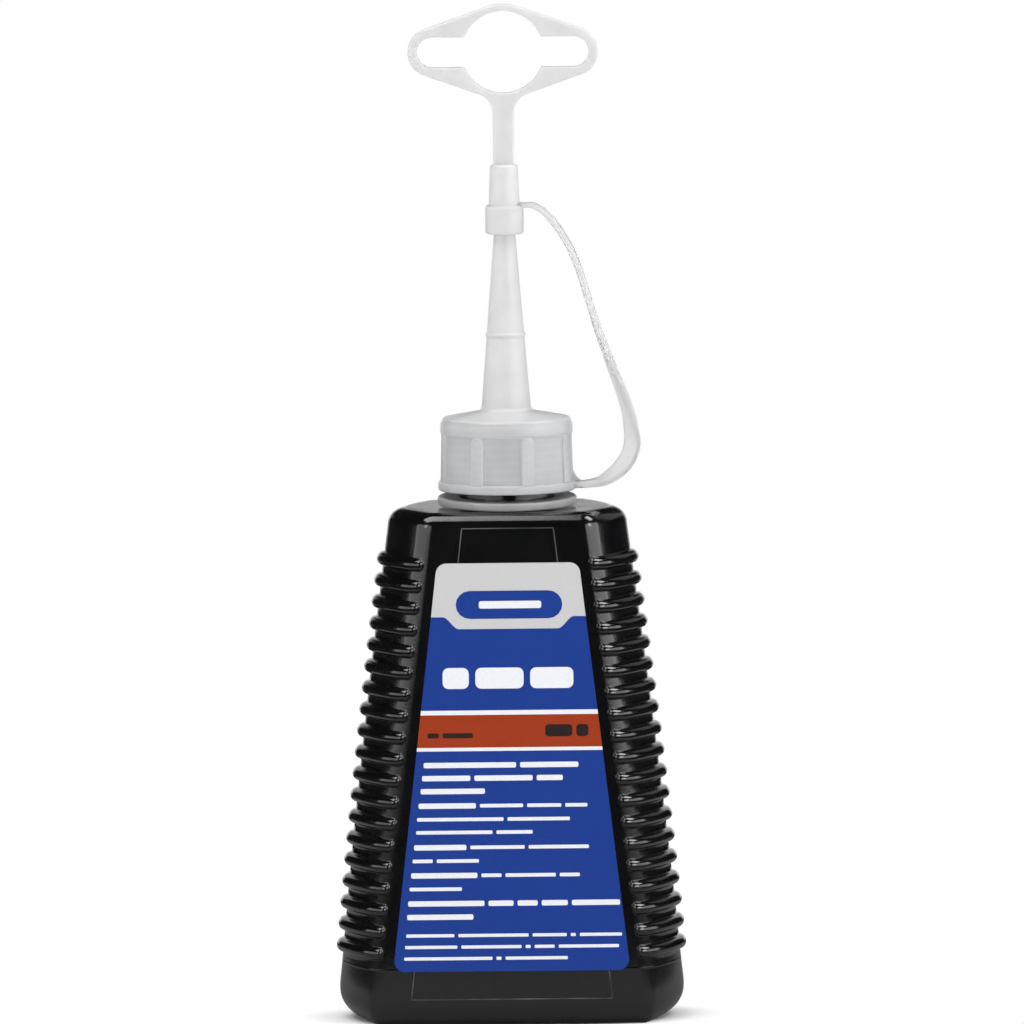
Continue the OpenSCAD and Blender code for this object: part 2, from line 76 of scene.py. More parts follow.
GRIP_COUNT, GRIP_WIDTH, GRIP_HEIGHT, GRIP_TOP, GRIP_TURN, BAND_HEIGHT = 8, 2.4, 0.35, 10.6, 18.4, 0.2
NOZZLE_ROOT, NOZZLE_TIP, NOZZLE_LENGTH, NOZZLE_WALL, OUTLET_RADIUS = 4.65, 1.15, 43.6, 1.3, 0.5
BEAD_HEIGHT, BEAD_RISE = 13.8, 0.25
CLOSURE_COVER, COLLAR_RADIUS, COLLAR_HEIGHT = 10.7, 3.6, 5.4
SLEEVE_FOOT, SLEEVE_TOP, SLEEVE_END = 2.9, 2.6, 2.3
HANGER_THICKNESS, STEM_WIDTH, HANGER_REACH, HANGER_HOLE_RADIUS = 2.2, 4.0, 20.95, 7.625
HANGER_WALL, SLOT_LENGTH, SLOT_HALF, SLOT_WALL, STEM_FILLET = 1.3, 32.0, 2.8, 1.75, 3.7
SEAL_PLAY, CLOSURE_PLAY, TIP_PLAY, CAP_LUG, CLOSURE_LUG = 0.05, 0.05, 0.05, 1.6, 1.3
STRAP_WIDTH, STRAP_THICKNESS, STRAP_THIN, STRAP_TWIST, STRAP_REACH = 3.6, 1.35, 0.95, 44.0, 23.5
THREAD_PITCH, THREAD_HEIGHT, SOCKET_THREAD_HEIGHT = 3.0, 0.95, 0.72
THREAD_STEP = 0.25            # between the rings that draw a thread

NECK_TOP = BODY_HEIGHT + NECK_LENGTH
NOZZLE_Z = CAP_Z + CAP_HEIGHT + CONE_RISE
TIP_Z = NOZZLE_Z + NOZZLE_LENGTH
COLLAR_Z = TIP_Z - CLOSURE_COVER
SLEEVE_Z = COLLAR_Z + COLLAR_HEIGHT
SOCKET_END = TIP_Z + TIP_PLAY
SLEEVE_TOP_Z = SOCKET_END + SLEEVE_END
HOLE_Z = SLEEVE_TOP_Z + HANGER_REACH


def sin_d(turn):
    return math.sin(math.radians(turn))


def cos_d(turn):
    return math.cos(math.radians(turn))


def ease(low, high, value):
    """0 below low, 1 above high, and a smooth step between them."""
    t = min(1.0, max(0.0, (value - low) / (high - low)))
    return t * t * (3 - 2 * t)


# ---------------------------------------------------------------------------------------------
# Mesh making
# ---------------------------------------------------------------------------------------------
def place_object(name, data):
    """An object that holds the data, linked to the scene."""
    holder = bpy.data.objects.new(name, data)
    bpy.context.scene.collection.objects.link(holder)
    return holder


def make_piece(name, points, faces, materials, sharp=40.0, face_materials=None, flip_check=True):
    """A smooth shaded piece from points in millimetres, with edges sharper than `sharp` kept crisp."""
    mesh = bpy.data.meshes.new(name)
    mesh.from_pydata([(x * MM, y * MM, z * MM) for x, y, z in points], [], faces)
    mesh.update()
    piece = place_object(name, mesh)
    for material in materials:
        mesh.materials.append(material)
    if face_materials is not None:
        mesh.polygons.foreach_set("material_index", face_materials)
    finish_mesh(mesh, sharp, flip_check)
    return piece


def finish_mesh(mesh, sharp, flip_check=True):
    """Welds the points, turns the faces outward and sets smooth shading with crisp edges."""
    form = bmesh.new()
    form.from_mesh(mesh)
    bmesh.ops.remove_doubles(form, verts=form.verts, dist=1e-7)
    bmesh.ops.dissolve_degenerate(form, edges=form.edges, dist=1e-8)
    if flip_check:
        bmesh.ops.recalc_face_normals(form, faces=form.faces)
    form.to_mesh(mesh)
    form.free()
    mesh.polygons.foreach_set("use_smooth", [True] * len(mesh.polygons))
    mesh.set_sharp_from_angle(angle=math.radians(sharp))
    mesh.update()


def loft(rings, close_start=True, close_end=True):
    """Points and faces of a skin through rings of equal length, each end closed by a fan."""
    count = len(rings[0])
    points = [p for ring in rings for p in ring]
    faces = []
    for k in range(len(rings) - 1):
        for i in range(count):
            j = (i + 1) % count
            faces.append((k * count + i, k * count + j, (k + 1) * count + j, (k + 1) * count + i))
    for close, ring, base, turn in ((close_start, rings[0], 0, True),
                                    (close_end, rings[-1], (len(rings) - 1) * count, False)):
        if close:
            middle = [sum(p[a] for p in ring) / count for a in range(3)]
            points.append(tuple(middle))
            hub = len(points) - 1
            for i in range(count):
                j = (i + 1) % count
                faces.append((base + j, base + i, hub) if turn else (base + i, base + j, hub))
    return points, faces


def level_ring(turns, radius, z):
    """A level ring of points. Its radius is a number, or a function of the direction."""
    ring = []
    for turn in turns:
        reach = radius(turn) if callable(radius) else radius
        ring.append((reach * cos_d(turn), reach * sin_d(turn), z))
    return ring


def turned(profile, turns):
    """Rings for `loft` from a profile of (radius, height), one ring for each profile point."""
    return [level_ring(turns, radius, z) for radius, z in profile]


def even_turns(count):
    return [360.0 * k / count for k in range(count)]


def arc_points(centre, radius, first, last, steps):
    turns = [first + (last - first) * k / steps for k in range(steps + 1)]
    return [(centre[0] + radius * cos_d(turn), centre[1] + radius * sin_d(turn)) for turn in turns]


def rounded(corners, steps=6):
    """A profile of (a, b) points from entries (a, b, radius), each corner with a radius rounded."""
    made = []
    last = len(corners) - 1
    for k, (a, b, radius) in enumerate(corners):
        if radius == 0 or k in (0, last):
            made.append((a, b))
            continue
        here = Vector((a, b))
        back = (Vector(corners[k - 1][:2]) - here).normalized()
        on = (Vector(corners[k + 1][:2]) - here).normalized()
        half = back.angle(on) / 2
        reach = radius / math.tan(half)
        start, end = here + back * reach, here + on * reach
        centre = here + (back + on).normalized() * (radius / math.sin(half))
        first = math.atan2(start.y - centre.y, start.x - centre.x)
        turn = math.atan2(end.y - centre.y, end.x - centre.x) - first
        turn = (turn + math.pi) % (2 * math.pi) - math.pi
        for s in range(steps + 1):
            angle = first + turn * s / steps
            made.append((centre.x + radius * math.cos(angle), centre.y + radius * math.sin(angle)))
    return made


def fuse_pieces(name, pieces, sharp):
    """One closed moulding from pieces that run into each other."""
    base = pieces[0]
    for other in pieces[1:]:
        union = base.modifiers.new("fuse", "BOOLEAN")
        union.operation, union.solver, union.object = "UNION", "EXACT", other
    graph = bpy.context.evaluated_depsgraph_get()
    mesh = bpy.data.meshes.new_from_object(base.evaluated_get(graph))
    mesh.name = name
    for piece in pieces[1:]:
        bpy.data.objects.remove(piece)
    base.modifiers.clear()
    base.data = mesh
    base.name = name
    finish_mesh(mesh, sharp)
    return base


# ---------------------------------------------------------------------------------------------
# Shared effects, each a shader node group
# ---------------------------------------------------------------------------------------------
def new_group(name, inputs, outputs):
    """An empty node group with float or vector sockets: inputs are (name, kind, default)."""
    group = bpy.data.node_groups.new(name, "ShaderNodeTree")
    for socket_name, kind, default in inputs:
        socket = group.interface.new_socket(name=socket_name, in_out="INPUT", socket_type=kind)
        if default is not None:
            socket.default_value = default
    for socket_name, kind in outputs:
        group.interface.new_socket(name=socket_name, in_out="OUTPUT", socket_type=kind)
    return group, group.nodes.new("NodeGroupInput"), group.nodes.new("NodeGroupOutput")


def add(tree, kind, place, **values):
    """A node at a place of the node editor, with the given settings."""
    node = tree.nodes.new(kind)
    node.location = place
    for key, value in values.items():
        setattr(node, key, value)
    return node


def empty_tree(owner, kind, place):
    """The cleared node tree of a material or world, with its output node."""
    owner.use_nodes = True
    owner.node_tree.nodes.clear()
    return owner.node_tree, add(owner.node_tree, kind, place)


def feed(tree, socket, value):
    """Gives a socket a plain number or a link, or leaves it as it is for None."""
    if isinstance(value, (int, float)):
        socket.default_value = value
    elif value is not None:
        tree.links.new(value, socket)


def math_node(tree, operation, first, second, place, clamp=False):
    """A Math node whose inputs are sockets, plain numbers or None."""
    node = add(tree, "ShaderNodeMath", place, operation=operation, use_clamp=clamp)
    for socket, value in zip(node.inputs, (first, second)):
        feed(tree, socket, value)
    return node.outputs[0]


def noise(tree, vector, scale, detail, roughness, place):
    """A noise whose scale is a number or a socket."""
    node = add(tree, "ShaderNodeTexNoise", place)
    for name, value in (("Vector", vector), ("Scale", scale), ("Detail", detail), ("Roughness", roughness)):
        feed(tree, node.inputs[name], value)
    return node.outputs["Fac"]


def mask(tree, value, low, high, place, run="SMOOTHSTEP"):
    """A mask that runs from 0 at low to 1 at high."""
    node = add(tree, "ShaderNodeMapRange", place, interpolation_type=run)
    for name, given in (("Value", value), ("From Min", low), ("From Max", high)):
        feed(tree, node.inputs[name], given)
    return node.outputs["Result"]


def build_moulded_skin():
    """Skin of moulded polyethylene: fine mould grain, slow sink waves and a tone that drifts."""
    group, enter, leave = new_group(
        "moulded_skin",
        [("Vector", "NodeSocketVector", None), ("Grain Scale", "NodeSocketFloat", 2500.0),
         ("Grain Height", "NodeSocketFloat", 0.3), ("Wave Scale", "NodeSocketFloat", 60.0),
         ("Wave Height", "NodeSocketFloat", 1.0)],
        [("Height", "NodeSocketFloat"), ("Tone", "NodeSocketFloat"), ("Grain", "NodeSocketFloat")],
    )
    grain = noise(group, enter.outputs["Vector"], enter.outputs["Grain Scale"], 4.0, 0.6, (-600, 200))
    wave = noise(group, enter.outputs["Vector"], enter.outputs["Wave Scale"], 1.5, 0.4, (-600, -100))
    tone_scale = math_node(group, "MULTIPLY", enter.outputs["Wave Scale"], 2.3, (-800, -400))
    tone = noise(group, enter.outputs["Vector"], tone_scale, 4.0, 0.55, (-600, -400))
    height = math_node(
        group, "ADD",
        math_node(group, "MULTIPLY", grain, enter.outputs["Grain Height"], (-350, 200)),
        math_node(group, "MULTIPLY", wave, enter.outputs["Wave Height"], (-350, -100)), (-150, 50))
    group.links.new(height, leave.inputs["Height"])
    group.links.new(tone, leave.inputs["Tone"])
    group.links.new(grain, leave.inputs["Grain"])
    return group


def build_handling_marks():
    """Faint rubs and fine dust from handling, as masks from 0 to 1."""
    group, enter, leave = new_group(
        "handling_marks",
        [("Vector", "NodeSocketVector", None), ("Rub Scale", "NodeSocketFloat", 300.0),
         ("Dust Scale", "NodeSocketFloat", 900.0), ("Dust Size", "NodeSocketFloat", 0.07)],
        [("Rubs", "NodeSocketFloat"), ("Dust", "NodeSocketFloat")],
    )
    stretch = add(group, "ShaderNodeMapping", (-900, 200), vector_type="POINT")
    stretch.inputs["Rotation"].default_value = (0.3, 0.5, 0.2)
    stretch.inputs["Scale"].default_value = (1.0, 1.0, 0.07)
    group.links.new(enter.outputs["Vector"], stretch.inputs["Vector"])
    streaks = noise(group, stretch.outputs["Vector"], enter.outputs["Rub Scale"], 5.0, 0.7, (-650, 200))
    patches = noise(group, enter.outputs["Vector"], 45.0, 2.0, 0.5, (-650, 0))
    rubs = mask(group, streaks, 0.56, 0.72, (-400, 200), "LINEAR")
    group.links.new(math_node(group, "MULTIPLY", rubs, patches, (-200, 150)), leave.inputs["Rubs"])
    cells = add(group, "ShaderNodeTexVoronoi", (-650, -250), feature="F1")
    group.links.new(enter.outputs["Vector"], cells.inputs["Vector"])
    group.links.new(enter.outputs["Dust Scale"], cells.inputs["Scale"])
    specks = math_node(group, "LESS_THAN", cells.outputs["Distance"], enter.outputs["Dust Size"],
                       (-400, -250))
    rare = math_node(group, "GREATER_THAN", patches, 0.55, (-400, -420))
    group.links.new(math_node(group, "MULTIPLY", specks, rare, (-200, -300)), leave.inputs["Dust"])
    return group


MOULDED_SKIN = build_moulded_skin()
HANDLING_MARKS = build_handling_marks()


# ---------------------------------------------------------------------------------------------
# Materials
# ---------------------------------------------------------------------------------------------
def start_material(name, group_values, marks_values):
    """A Principled material with one copy of each shared effect, fed with object coordinates."""
    material = bpy.data.materials.new(name)
    tree, leave = empty_tree(material, "ShaderNodeOutputMaterial", (900, 0))
    shader = add(tree, "ShaderNodeBsdfPrincipled", (550, 0))
    tree.links.new(shader.outputs["BSDF"], leave.inputs["Surface"])
    place = add(tree, "ShaderNodeTexCoord", (-900, 0))
    skin = add(tree, "ShaderNodeGroup", (-600, 150), node_tree=MOULDED_SKIN)
    marks = add(tree, "ShaderNodeGroup", (-600, -200), node_tree=HANDLING_MARKS)
    for node, values in ((skin, group_values), (marks, marks_values)):
        tree.links.new(place.outputs["Object"], node.inputs["Vector"])
        for key, value in values.items():
            node.inputs[key].default_value = value
    return material, tree, shader, skin, marks


def drift_colour(tree, shader, driver, low, high, at_low=0.3, at_high=0.7):
    """Base Color that drifts between two colours with a mask."""
    ramp = add(tree, "ShaderNodeValToRGB", (-200, 300))
    for stop, position, colour in zip(ramp.color_ramp.elements, (at_low, at_high), (low, high)):
        stop.position, stop.color = position, (*colour, 1)
    tree.links.new(driver, ramp.inputs["Fac"])
    tree.links.new(ramp.outputs["Color"], shader.inputs["Base Color"])


def drift_roughness(tree, shader, tone, rubs, low, high, rub_gain):
    """Roughness from low to high with the tone, raised where the surface is rubbed."""
    spread = add(tree, "ShaderNodeMapRange", (-200, 0))
    spread.inputs["From Min"].default_value, spread.inputs["From Max"].default_value = 0.3, 0.7
    spread.inputs["To Min"].default_value, spread.inputs["To Max"].default_value = low, high
    tree.links.new(tone, spread.inputs["Value"])
    raised = math_node(tree, "MULTIPLY", rubs, rub_gain, (-200, -250))
    tree.links.new(math_node(tree, "ADD", spread.outputs["Result"], raised, (50, -50), clamp=True),
                   shader.inputs["Roughness"])


def raise_grain(tree, shader, height, distance):
    """Bump from a height mask whose full step is `distance` metres."""
    bump = add(tree, "ShaderNodeBump", (300, -350))
    bump.inputs["Distance"].default_value = distance
    bump.inputs["Strength"].default_value = 1.0
    tree.links.new(height, bump.inputs["Height"])
    tree.links.new(bump.outputs["Normal"], shader.inputs["Normal"])


def black_plastic(name, low, high, smooth, rough):
    """Glossy black polyethylene, from one colour and roughness to the other."""
    material, tree, shader, skin, marks = start_material(
        name,
        {"Grain Scale": 2400.0, "Grain Height": 0.45, "Wave Scale": 75.0, "Wave Height": 2.0},
        {"Rub Scale": 420.0, "Dust Scale": 520.0, "Dust Size": 0.05})
    drift_colour(tree, shader, skin.outputs["Tone"], low, high)
    drift_roughness(tree, shader, skin.outputs["Tone"], marks.outputs["Rubs"], smooth, rough, 0.16)
    shader.inputs["IOR"].default_value = 1.7
    raise_grain(tree, shader, skin.outputs["Height"], 0.000028)
    return material


def natural_plastic(name, low, high, see_through, roughness, radius, shine=0.5):
    """Milky polyethylene without pigment, which lets some light through and scatters it inside."""
    material, tree, shader, skin, marks = start_material(
        name,
        {"Grain Scale": 1900.0, "Grain Height": 0.08, "Wave Scale": 110.0, "Wave Height": 1.4},
        {"Rub Scale": 380.0, "Dust Scale": 700.0, "Dust Size": 0.05})
    drift_colour(tree, shader, skin.outputs["Tone"], low, high)
    drift_roughness(tree, shader, skin.outputs["Tone"], marks.outputs["Rubs"],
                    roughness, roughness + 0.07, 0.03)
    shader.inputs["IOR"].default_value = 1.5
    shader.inputs["Specular IOR Level"].default_value = shine
    shader.inputs["Transmission Weight"].default_value = see_through
    shader.inputs["Subsurface Weight"].default_value = 0.35
    shader.inputs["Subsurface Radius"].default_value = (1.0, 1.0, 1.0)
    shader.inputs["Subsurface Scale"].default_value = radius
    raise_grain(tree, shader, skin.outputs["Height"], 0.00002)
    return material


def paint_neck_shade_and_edge_highlight(material):
    """Paints the cap's thin panels darker and cooler, with faint lines: painted shade of the dark threaded
    neck seen through them.

    The thicker bars, band and flange are painted paler, and the bars' edges palest, as a painted highlight.
    """
    tree = material.node_tree
    shader = next(node for node in tree.nodes if node.type == "BSDF_PRINCIPLED")
    place = next(node for node in tree.nodes if node.type == "TEX_COORD")
    plain = shader.inputs["Base Color"].links[0].from_socket
    split = add(tree, "ShaderNodeSeparateXYZ", (-700, 700))
    tree.links.new(place.outputs["Object"], split.inputs["Vector"])
    x, y, z = (split.outputs[name] for name in "XYZ")
    # how far the wall stands out from the thin panels, as a share of a bar's height
    squares = [math_node(tree, "MULTIPLY", axis, axis, (-500, up)) for axis, up in ((x, 900), (y, 750))]
    radius = math_node(tree, "SQRT", math_node(tree, "ADD", *squares, (-350, 800)), None, (-200, 800))
    slope = (SKIRT_FOOT_RADIUS - SKIRT_TOP_RADIUS) / CAP_HEIGHT
    panel_radius = math_node(tree, "MULTIPLY_ADD", z, -slope, (-350, 620))
    panel_radius.node.inputs[2].default_value = (SKIRT_FOOT_RADIUS + slope * CAP_Z) * MM
    proud = math_node(tree, "SUBTRACT", radius, panel_radius, (-50, 750))
    thick = math_node(tree, "DIVIDE", proud, GRIP_HEIGHT * MM, (100, 750), clamp=True)
    band_foot = CAP_Z + GRIP_TOP
    band = mask(tree, z, (band_foot - 0.3) * MM, (band_foot + 0.3) * MM, (-350, 450))
    thick = math_node(tree, "MAXIMUM", thick, band, (250, 700))
    # painted shade of the thread behind the panels, as fine lines that climb round the cap, two to a pitch
    turn = math_node(tree, "ARCTAN2", y, x, (-500, 300))
    climb = math_node(tree, "MULTIPLY", z, 4 * math.pi / (THREAD_PITCH * MM), (-350, 250))
    along = math_node(tree, "SUBTRACT", climb, turn, (-200, 300))
    wave = math_node(tree, "SINE", along, None, (-50, 300))
    painted_thread_shade = math_node(tree, "MULTIPLY", wave, 0.07, (100, 300))
    # painted shade on the thin panels, paler on the thick parts, palest on the bars' edges as a painted
    # highlight
    painted_shade_and_highlight = add(tree, "ShaderNodeValToRGB", (400, 600))
    stops = painted_shade_and_highlight.color_ramp.elements
    stops[0].position, stops[0].color = 0.0, (0.80, 0.825, 0.845, 1)
    stops[1].position, stops[1].color = 1.0, (0.87, 0.875, 0.88, 1)
    for at, level in ((0.16, 0.87), (0.45, 1.0), (0.70, 1.0)):
        stops.new(at).color = (level, level, level, 1)
    tree.links.new(math_node(tree, "ADD", thick, painted_thread_shade, (300, 450), clamp=True), painted_shade_and_highlight.inputs["Fac"])
    painted_base_colour = add(tree, "ShaderNodeVectorMath", (500, 350), operation="MULTIPLY")
    tree.links.new(plain, painted_base_colour.inputs[0])
    tree.links.new(painted_shade_and_highlight.outputs["Color"], painted_base_colour.inputs[1])
    tree.links.new(painted_base_colour.outputs["Vector"], shader.inputs["Base Color"])
    return material


def label_ink(name, colour, deeper):
    """Ink printed on glossy film: colour with a fine print mottle under a smooth varnish."""
    material, tree, shader, skin, marks = start_material(
        name,
        {"Grain Scale": 5200.0, "Grain Height": 0.5, "Wave Scale": 140.0, "Wave Height": 1.0},
        {"Rub Scale": 500.0, "Dust Scale": 800.0, "Dust Size": 0.04})
    drift_colour(tree, shader, skin.outputs["Grain"], deeper, colour, 0.32, 0.6)
    drift_roughness(tree, shader, skin.outputs["Tone"], marks.outputs["Rubs"], 0.30, 0.38, 0.12)
    shader.inputs["IOR"].default_value = 1.45
    shader.inputs["Specular IOR Level"].default_value = 0.22
    raise_grain(tree, shader, skin.outputs["Height"], 0.000008)
    return material


def graphite_contents():
    """Settled graphite powder: dull, with fine bright flakes."""
    material, tree, shader, skin, marks = start_material(
        "graphite_contents",
        {"Grain Scale": 4200.0, "Grain Height": 1.0, "Wave Scale": 90.0, "Wave Height": 1.5},
        {"Rub Scale": 600.0, "Dust Scale": 2600.0, "Dust Size": 0.22})
    drift_colour(tree, shader, skin.outputs["Grain"], (0.018, 0.018, 0.020), (0.075, 0.075, 0.08))
    drift_roughness(tree, shader, skin.outputs["Grain"], marks.outputs["Rubs"], 0.62, 0.82, -0.1)
    tree.links.new(math_node(tree, "MULTIPLY", marks.outputs["Dust"], 0.8, (300, -600)),
                   shader.inputs["Metallic"])
    raise_grain(tree, shader, skin.outputs["Height"], 0.00012)
    return material


BLACK = black_plastic("black_bottle_plastic", (0.0024, 0.0026, 0.0030), (0.0036, 0.0037, 0.0040),
                      0.095, 0.145)
# lighter black for the panel line: partly wear, partly a painted highlight along the raised line
BLACK_WORN_AND_HIGHLIGHT = black_plastic("worn_black_plastic_and_painted_highlight", (0.006, 0.006, 0.006), (0.085, 0.083, 0.081), 0.36, 0.46)
MILKY = natural_plastic("milky_nozzle_plastic", (0.722, 0.718, 0.720), (0.782, 0.778, 0.780),
                        0.20, 0.36, 0.0016, shine=0.32)
MILKY_BAND = natural_plastic("milky_strap_plastic", (0.855, 0.850, 0.853), (0.895, 0.890, 0.893),
                             0.80, 0.44, 0.0016, shine=0.25)
MILKY_CONE = natural_plastic("milky_cone_plastic", (0.685, 0.684, 0.688), (0.745, 0.744, 0.748),
                             0.28, 0.34, 0.0012, shine=0.4)
# the cap's material, with painted shade from the neck behind and a painted highlight on the bars' edges
MILKY_CAP_PAINTED_SHADE = paint_neck_shade_and_edge_highlight(
    natural_plastic("milky_cap_painted_shade_and_highlight", (0.76, 0.765, 0.77), (0.84, 0.845, 0.85), 0.38, 0.28, 0.0010))
# milky ring plastic painted grey: painted shade of the black shoulder seen through the thin ring
MILKY_RING_PAINTED_SHADE = natural_plastic("milky_ring_painted_shade", (0.415, 0.415, 0.415), (0.475, 0.475, 0.477),
                             0.30, 0.36, 0.0010)
INK_GREY = label_ink("label_grey", (0.56, 0.56, 0.565), (0.51, 0.51, 0.515))
INK_BLUE = label_ink("label_blue", (0.0108, 0.044, 0.268), (0.0085, 0.035, 0.225))
INK_ORANGE = label_ink("label_orange", (0.330, 0.041, 0.009), (0.290, 0.032, 0.007))
INK_WHITE = label_ink("label_white", (0.80, 0.81, 0.84), (0.70, 0.72, 0.78))
INK_BLACK = label_ink("label_black", (0.030, 0.018, 0.016), (0.020, 0.012, 0.011))


# ---------------------------------------------------------------------------------------------
# Bottle
# ---------------------------------------------------------------------------------------------
HALF_DEPTH = BODY_DEPTH / 2
EDGE_TURN, TIP_TURN = 32.0, 16.0    # directions where the wall's three curves meet
FLANK = ((HALF_DEPTH - PANEL_EDGE * (1 - sin_d(EDGE_TURN)) - SIDE_EDGE * sin_d(TIP_TURN))
         / (sin_d(EDGE_TURN) - sin_d(TIP_TURN)))
SIDE_RUN = ((PANEL_EDGE - FLANK) * cos_d(EDGE_TURN) + (FLANK - SIDE_EDGE) * cos_d(TIP_TURN) + SIDE_EDGE)
RIGHT_START, LEFT_START = 1.12, 1.66   # from the panel's end to the middle of a rib's round nose
DEEPEST_IN = PANEL_EDGE * 0.95
BULGE_FOOT, BULGE_RUN = 10.0, 82.0
BAND_LINE_RISE, PART_LINE_DEPTH, PART_LINE_TURN = 0.02, 0.10, 0.9


def arc_in(run, at):
    """Share from 1 to 0 by which a quarter round of length `run` stands back at a place along it."""
    return 1 - math.sqrt(max(0.0, 1 - ((run - at) / run) ** 2))


def near_foot(z, run):
    return arc_in(run, max(z, 0.0)) if z < run else 0.0


def near_top(z):
    return arc_in(SHOULDER_ROUND, BODY_HEIGHT - z) if z > BODY_HEIGHT - SHOULDER_ROUND else 0.0


def half_width(z):
    return FOOT_WIDTH / 2 - (FOOT_WIDTH - SHOULDER_WIDTH) / 2 * z / BODY_HEIGHT


def draw_in(z):
    return FOOT_DRAW_IN * near_foot(z, FOOT_ROUND_FRONT) + SHOULDER_ROUND * near_top(z)


def side_in(z):
    return ((FOOT_ROUND_SIDE - FOOT_DRAW_IN) * near_foot(z, FOOT_ROUND_SIDE)
            + SHOULDER_SIDE_EXTRA * near_top(z))


def side_out(z):
    """How far the narrow sides swell out between the foot band and the shoulder."""
    share = min(1.0, max(0.0, (z - BULGE_FOOT) / BULGE_RUN))
    return SIDE_BULGE * 4 * share * (1 - share)


def band_lean(z):
    return FOOT_BAND_LEAN * max(0.0, FOOT_BAND_HEIGHT - z) / FOOT_BAND_HEIGHT


def quarter_point(turn, inset, bump):
    """A point of the outline's quarter where the wall faces `turn`: 90 at the panel, 0 at the side."""
    if turn >= EDGE_TURN:
        reach = PANEL_EDGE - inset + bump
        return reach * cos_d(turn), HALF_DEPTH - PANEL_EDGE + reach * sin_d(turn)
    if turn >= TIP_TURN:
        reach = FLANK - inset + bump
        return ((PANEL_EDGE - FLANK) * cos_d(EDGE_TURN) + reach * cos_d(turn),
                HALF_DEPTH - PANEL_EDGE + (PANEL_EDGE - FLANK) * sin_d(EDGE_TURN) + reach * sin_d(turn))
    reach = SIDE_EDGE - inset + bump
    return SIDE_RUN - SIDE_EDGE + reach * cos_d(turn), reach * sin_d(turn)


def run_to(turn):
    """Length along the outline from the panel's end to the point that faces `turn`."""
    length = PANEL_EDGE * math.radians(90 - max(turn, EDGE_TURN))
    if turn < EDGE_TURN:
        length += FLANK * math.radians(EDGE_TURN - max(turn, TIP_TURN))
    if turn < TIP_TURN:
        length += SIDE_EDGE * math.radians(TIP_TURN - turn)
    return length


def bead(distance, slim):
    """Height of a rib's round back at a distance from its middle line, with a fine cove at its foot.

    `slim` runs from 0 at the narrow sides to 1 beside the panel, where a rib is slimmer and lower.
    """
    radius, sink = BEAD_RADIUS - BEAD_SLIM * slim, RIB_SINK * slim
    join = radius - BEAD_FOOT
    d = abs(distance)
    if d >= radius + BEAD_FOOT:
        return 0.0
    if d <= join:
        return math.sqrt(radius ** 2 - d ** 2) - sink
    at_join = math.sqrt(radius ** 2 - join ** 2) - sink
    return at_join * ((radius + BEAD_FOOT - d) / (2 * BEAD_FOOT)) ** 2


def rib_bump(z, turn, start):
    """Height of the grip ribs at a place on the wall. Each rib ends in a round nose beside the panel."""
    index = min(RIB_COUNT - 1, max(0, round((z - FIRST_RIB) / RIB_PITCH)))
    up = z - FIRST_RIB - index * RIB_PITCH
    short = max(0.0, start - run_to(turn)) * (BEAD_RADIUS - BEAD_SLIM) / NOSE_LENGTH
    return bead(math.hypot(up, short), ease(18.0, 46.0, turn))


QUARTER_TURNS = ([90, 87.5] + [86 - 1.25 * k for k in range(15)]
                 + [66, 63.5, 61, 58.5, 56, 53.5, 50, 46, 42, 38, 35, 32]
                 + [30, 28, 26, 24, 22, 20, 18, 16, 12, 8, 4, 1.8, PART_LINE_TURN, 0])
PANEL_STEPS = 16


def wall_ring(z, inset, ribbed, fine=True):
    """One ring of the bottle's wall, right side first, from front to back, then the left side."""
    all_in = min(inset + draw_in(z), DEEPEST_IN)
    squeeze = 1 - (side_in(z) - side_out(z)) / SIDE_RUN
    flat = half_width(z) - SIDE_RUN
    deep = (HALF_DEPTH - band_lean(z)) / HALF_DEPTH

    def quarter_from(start):
        quarter = []
        for turn in QUARTER_TURNS:
            bump = rib_bump(z, turn, start) if ribbed else 0.0
            if fine and z == FOOT_BAND_HEIGHT:
                bump += BAND_LINE_RISE
            if fine and turn == 0:
                bump -= PART_LINE_DEPTH
            x, y = quarter_point(turn, all_in, bump)
            quarter.append((flat + x * squeeze, y * deep))
        return quarter

    quarter, left_quarter = quarter_from(RIGHT_START), quarter_from(LEFT_START)
    ring = [(x, -y, z) for x, y in quarter]
    ring += [(x, y, z) for x, y in reversed(quarter[:-1])]
    back = quarter[0]
    ring += [(back[0] * (1 - 2 * k / PANEL_STEPS), back[1], z) for k in range(1, PANEL_STEPS)]
    ring += [(-x, y, z) for x, y in left_quarter]
    ring += [(-x, -y, z) for x, y in reversed(left_quarter[:-1])]
    ring += [(-back[0] * (1 - 2 * k / PANEL_STEPS), -back[1], z) for k in range(1, PANEL_STEPS)]
    return ring


def blend_rings(first, second, share):
    return [tuple(a + (b - a) * share for a, b in zip(p, q)) for p, q in zip(first, second)]


def thread_rise(turn, z, low, high, phase):
    """Share from 0 to 1 of a right-hand thread's ridge, run out softly at both ends."""
    place = (z - phase - THREAD_PITCH * turn / 360.0) / THREAD_PITCH
    off = abs(place - round(place)) * THREAD_PITCH
    return ease(0.72, 0.30, off) * ease(low, low + 1.0, z) * ease(high, high - 1.0, z)


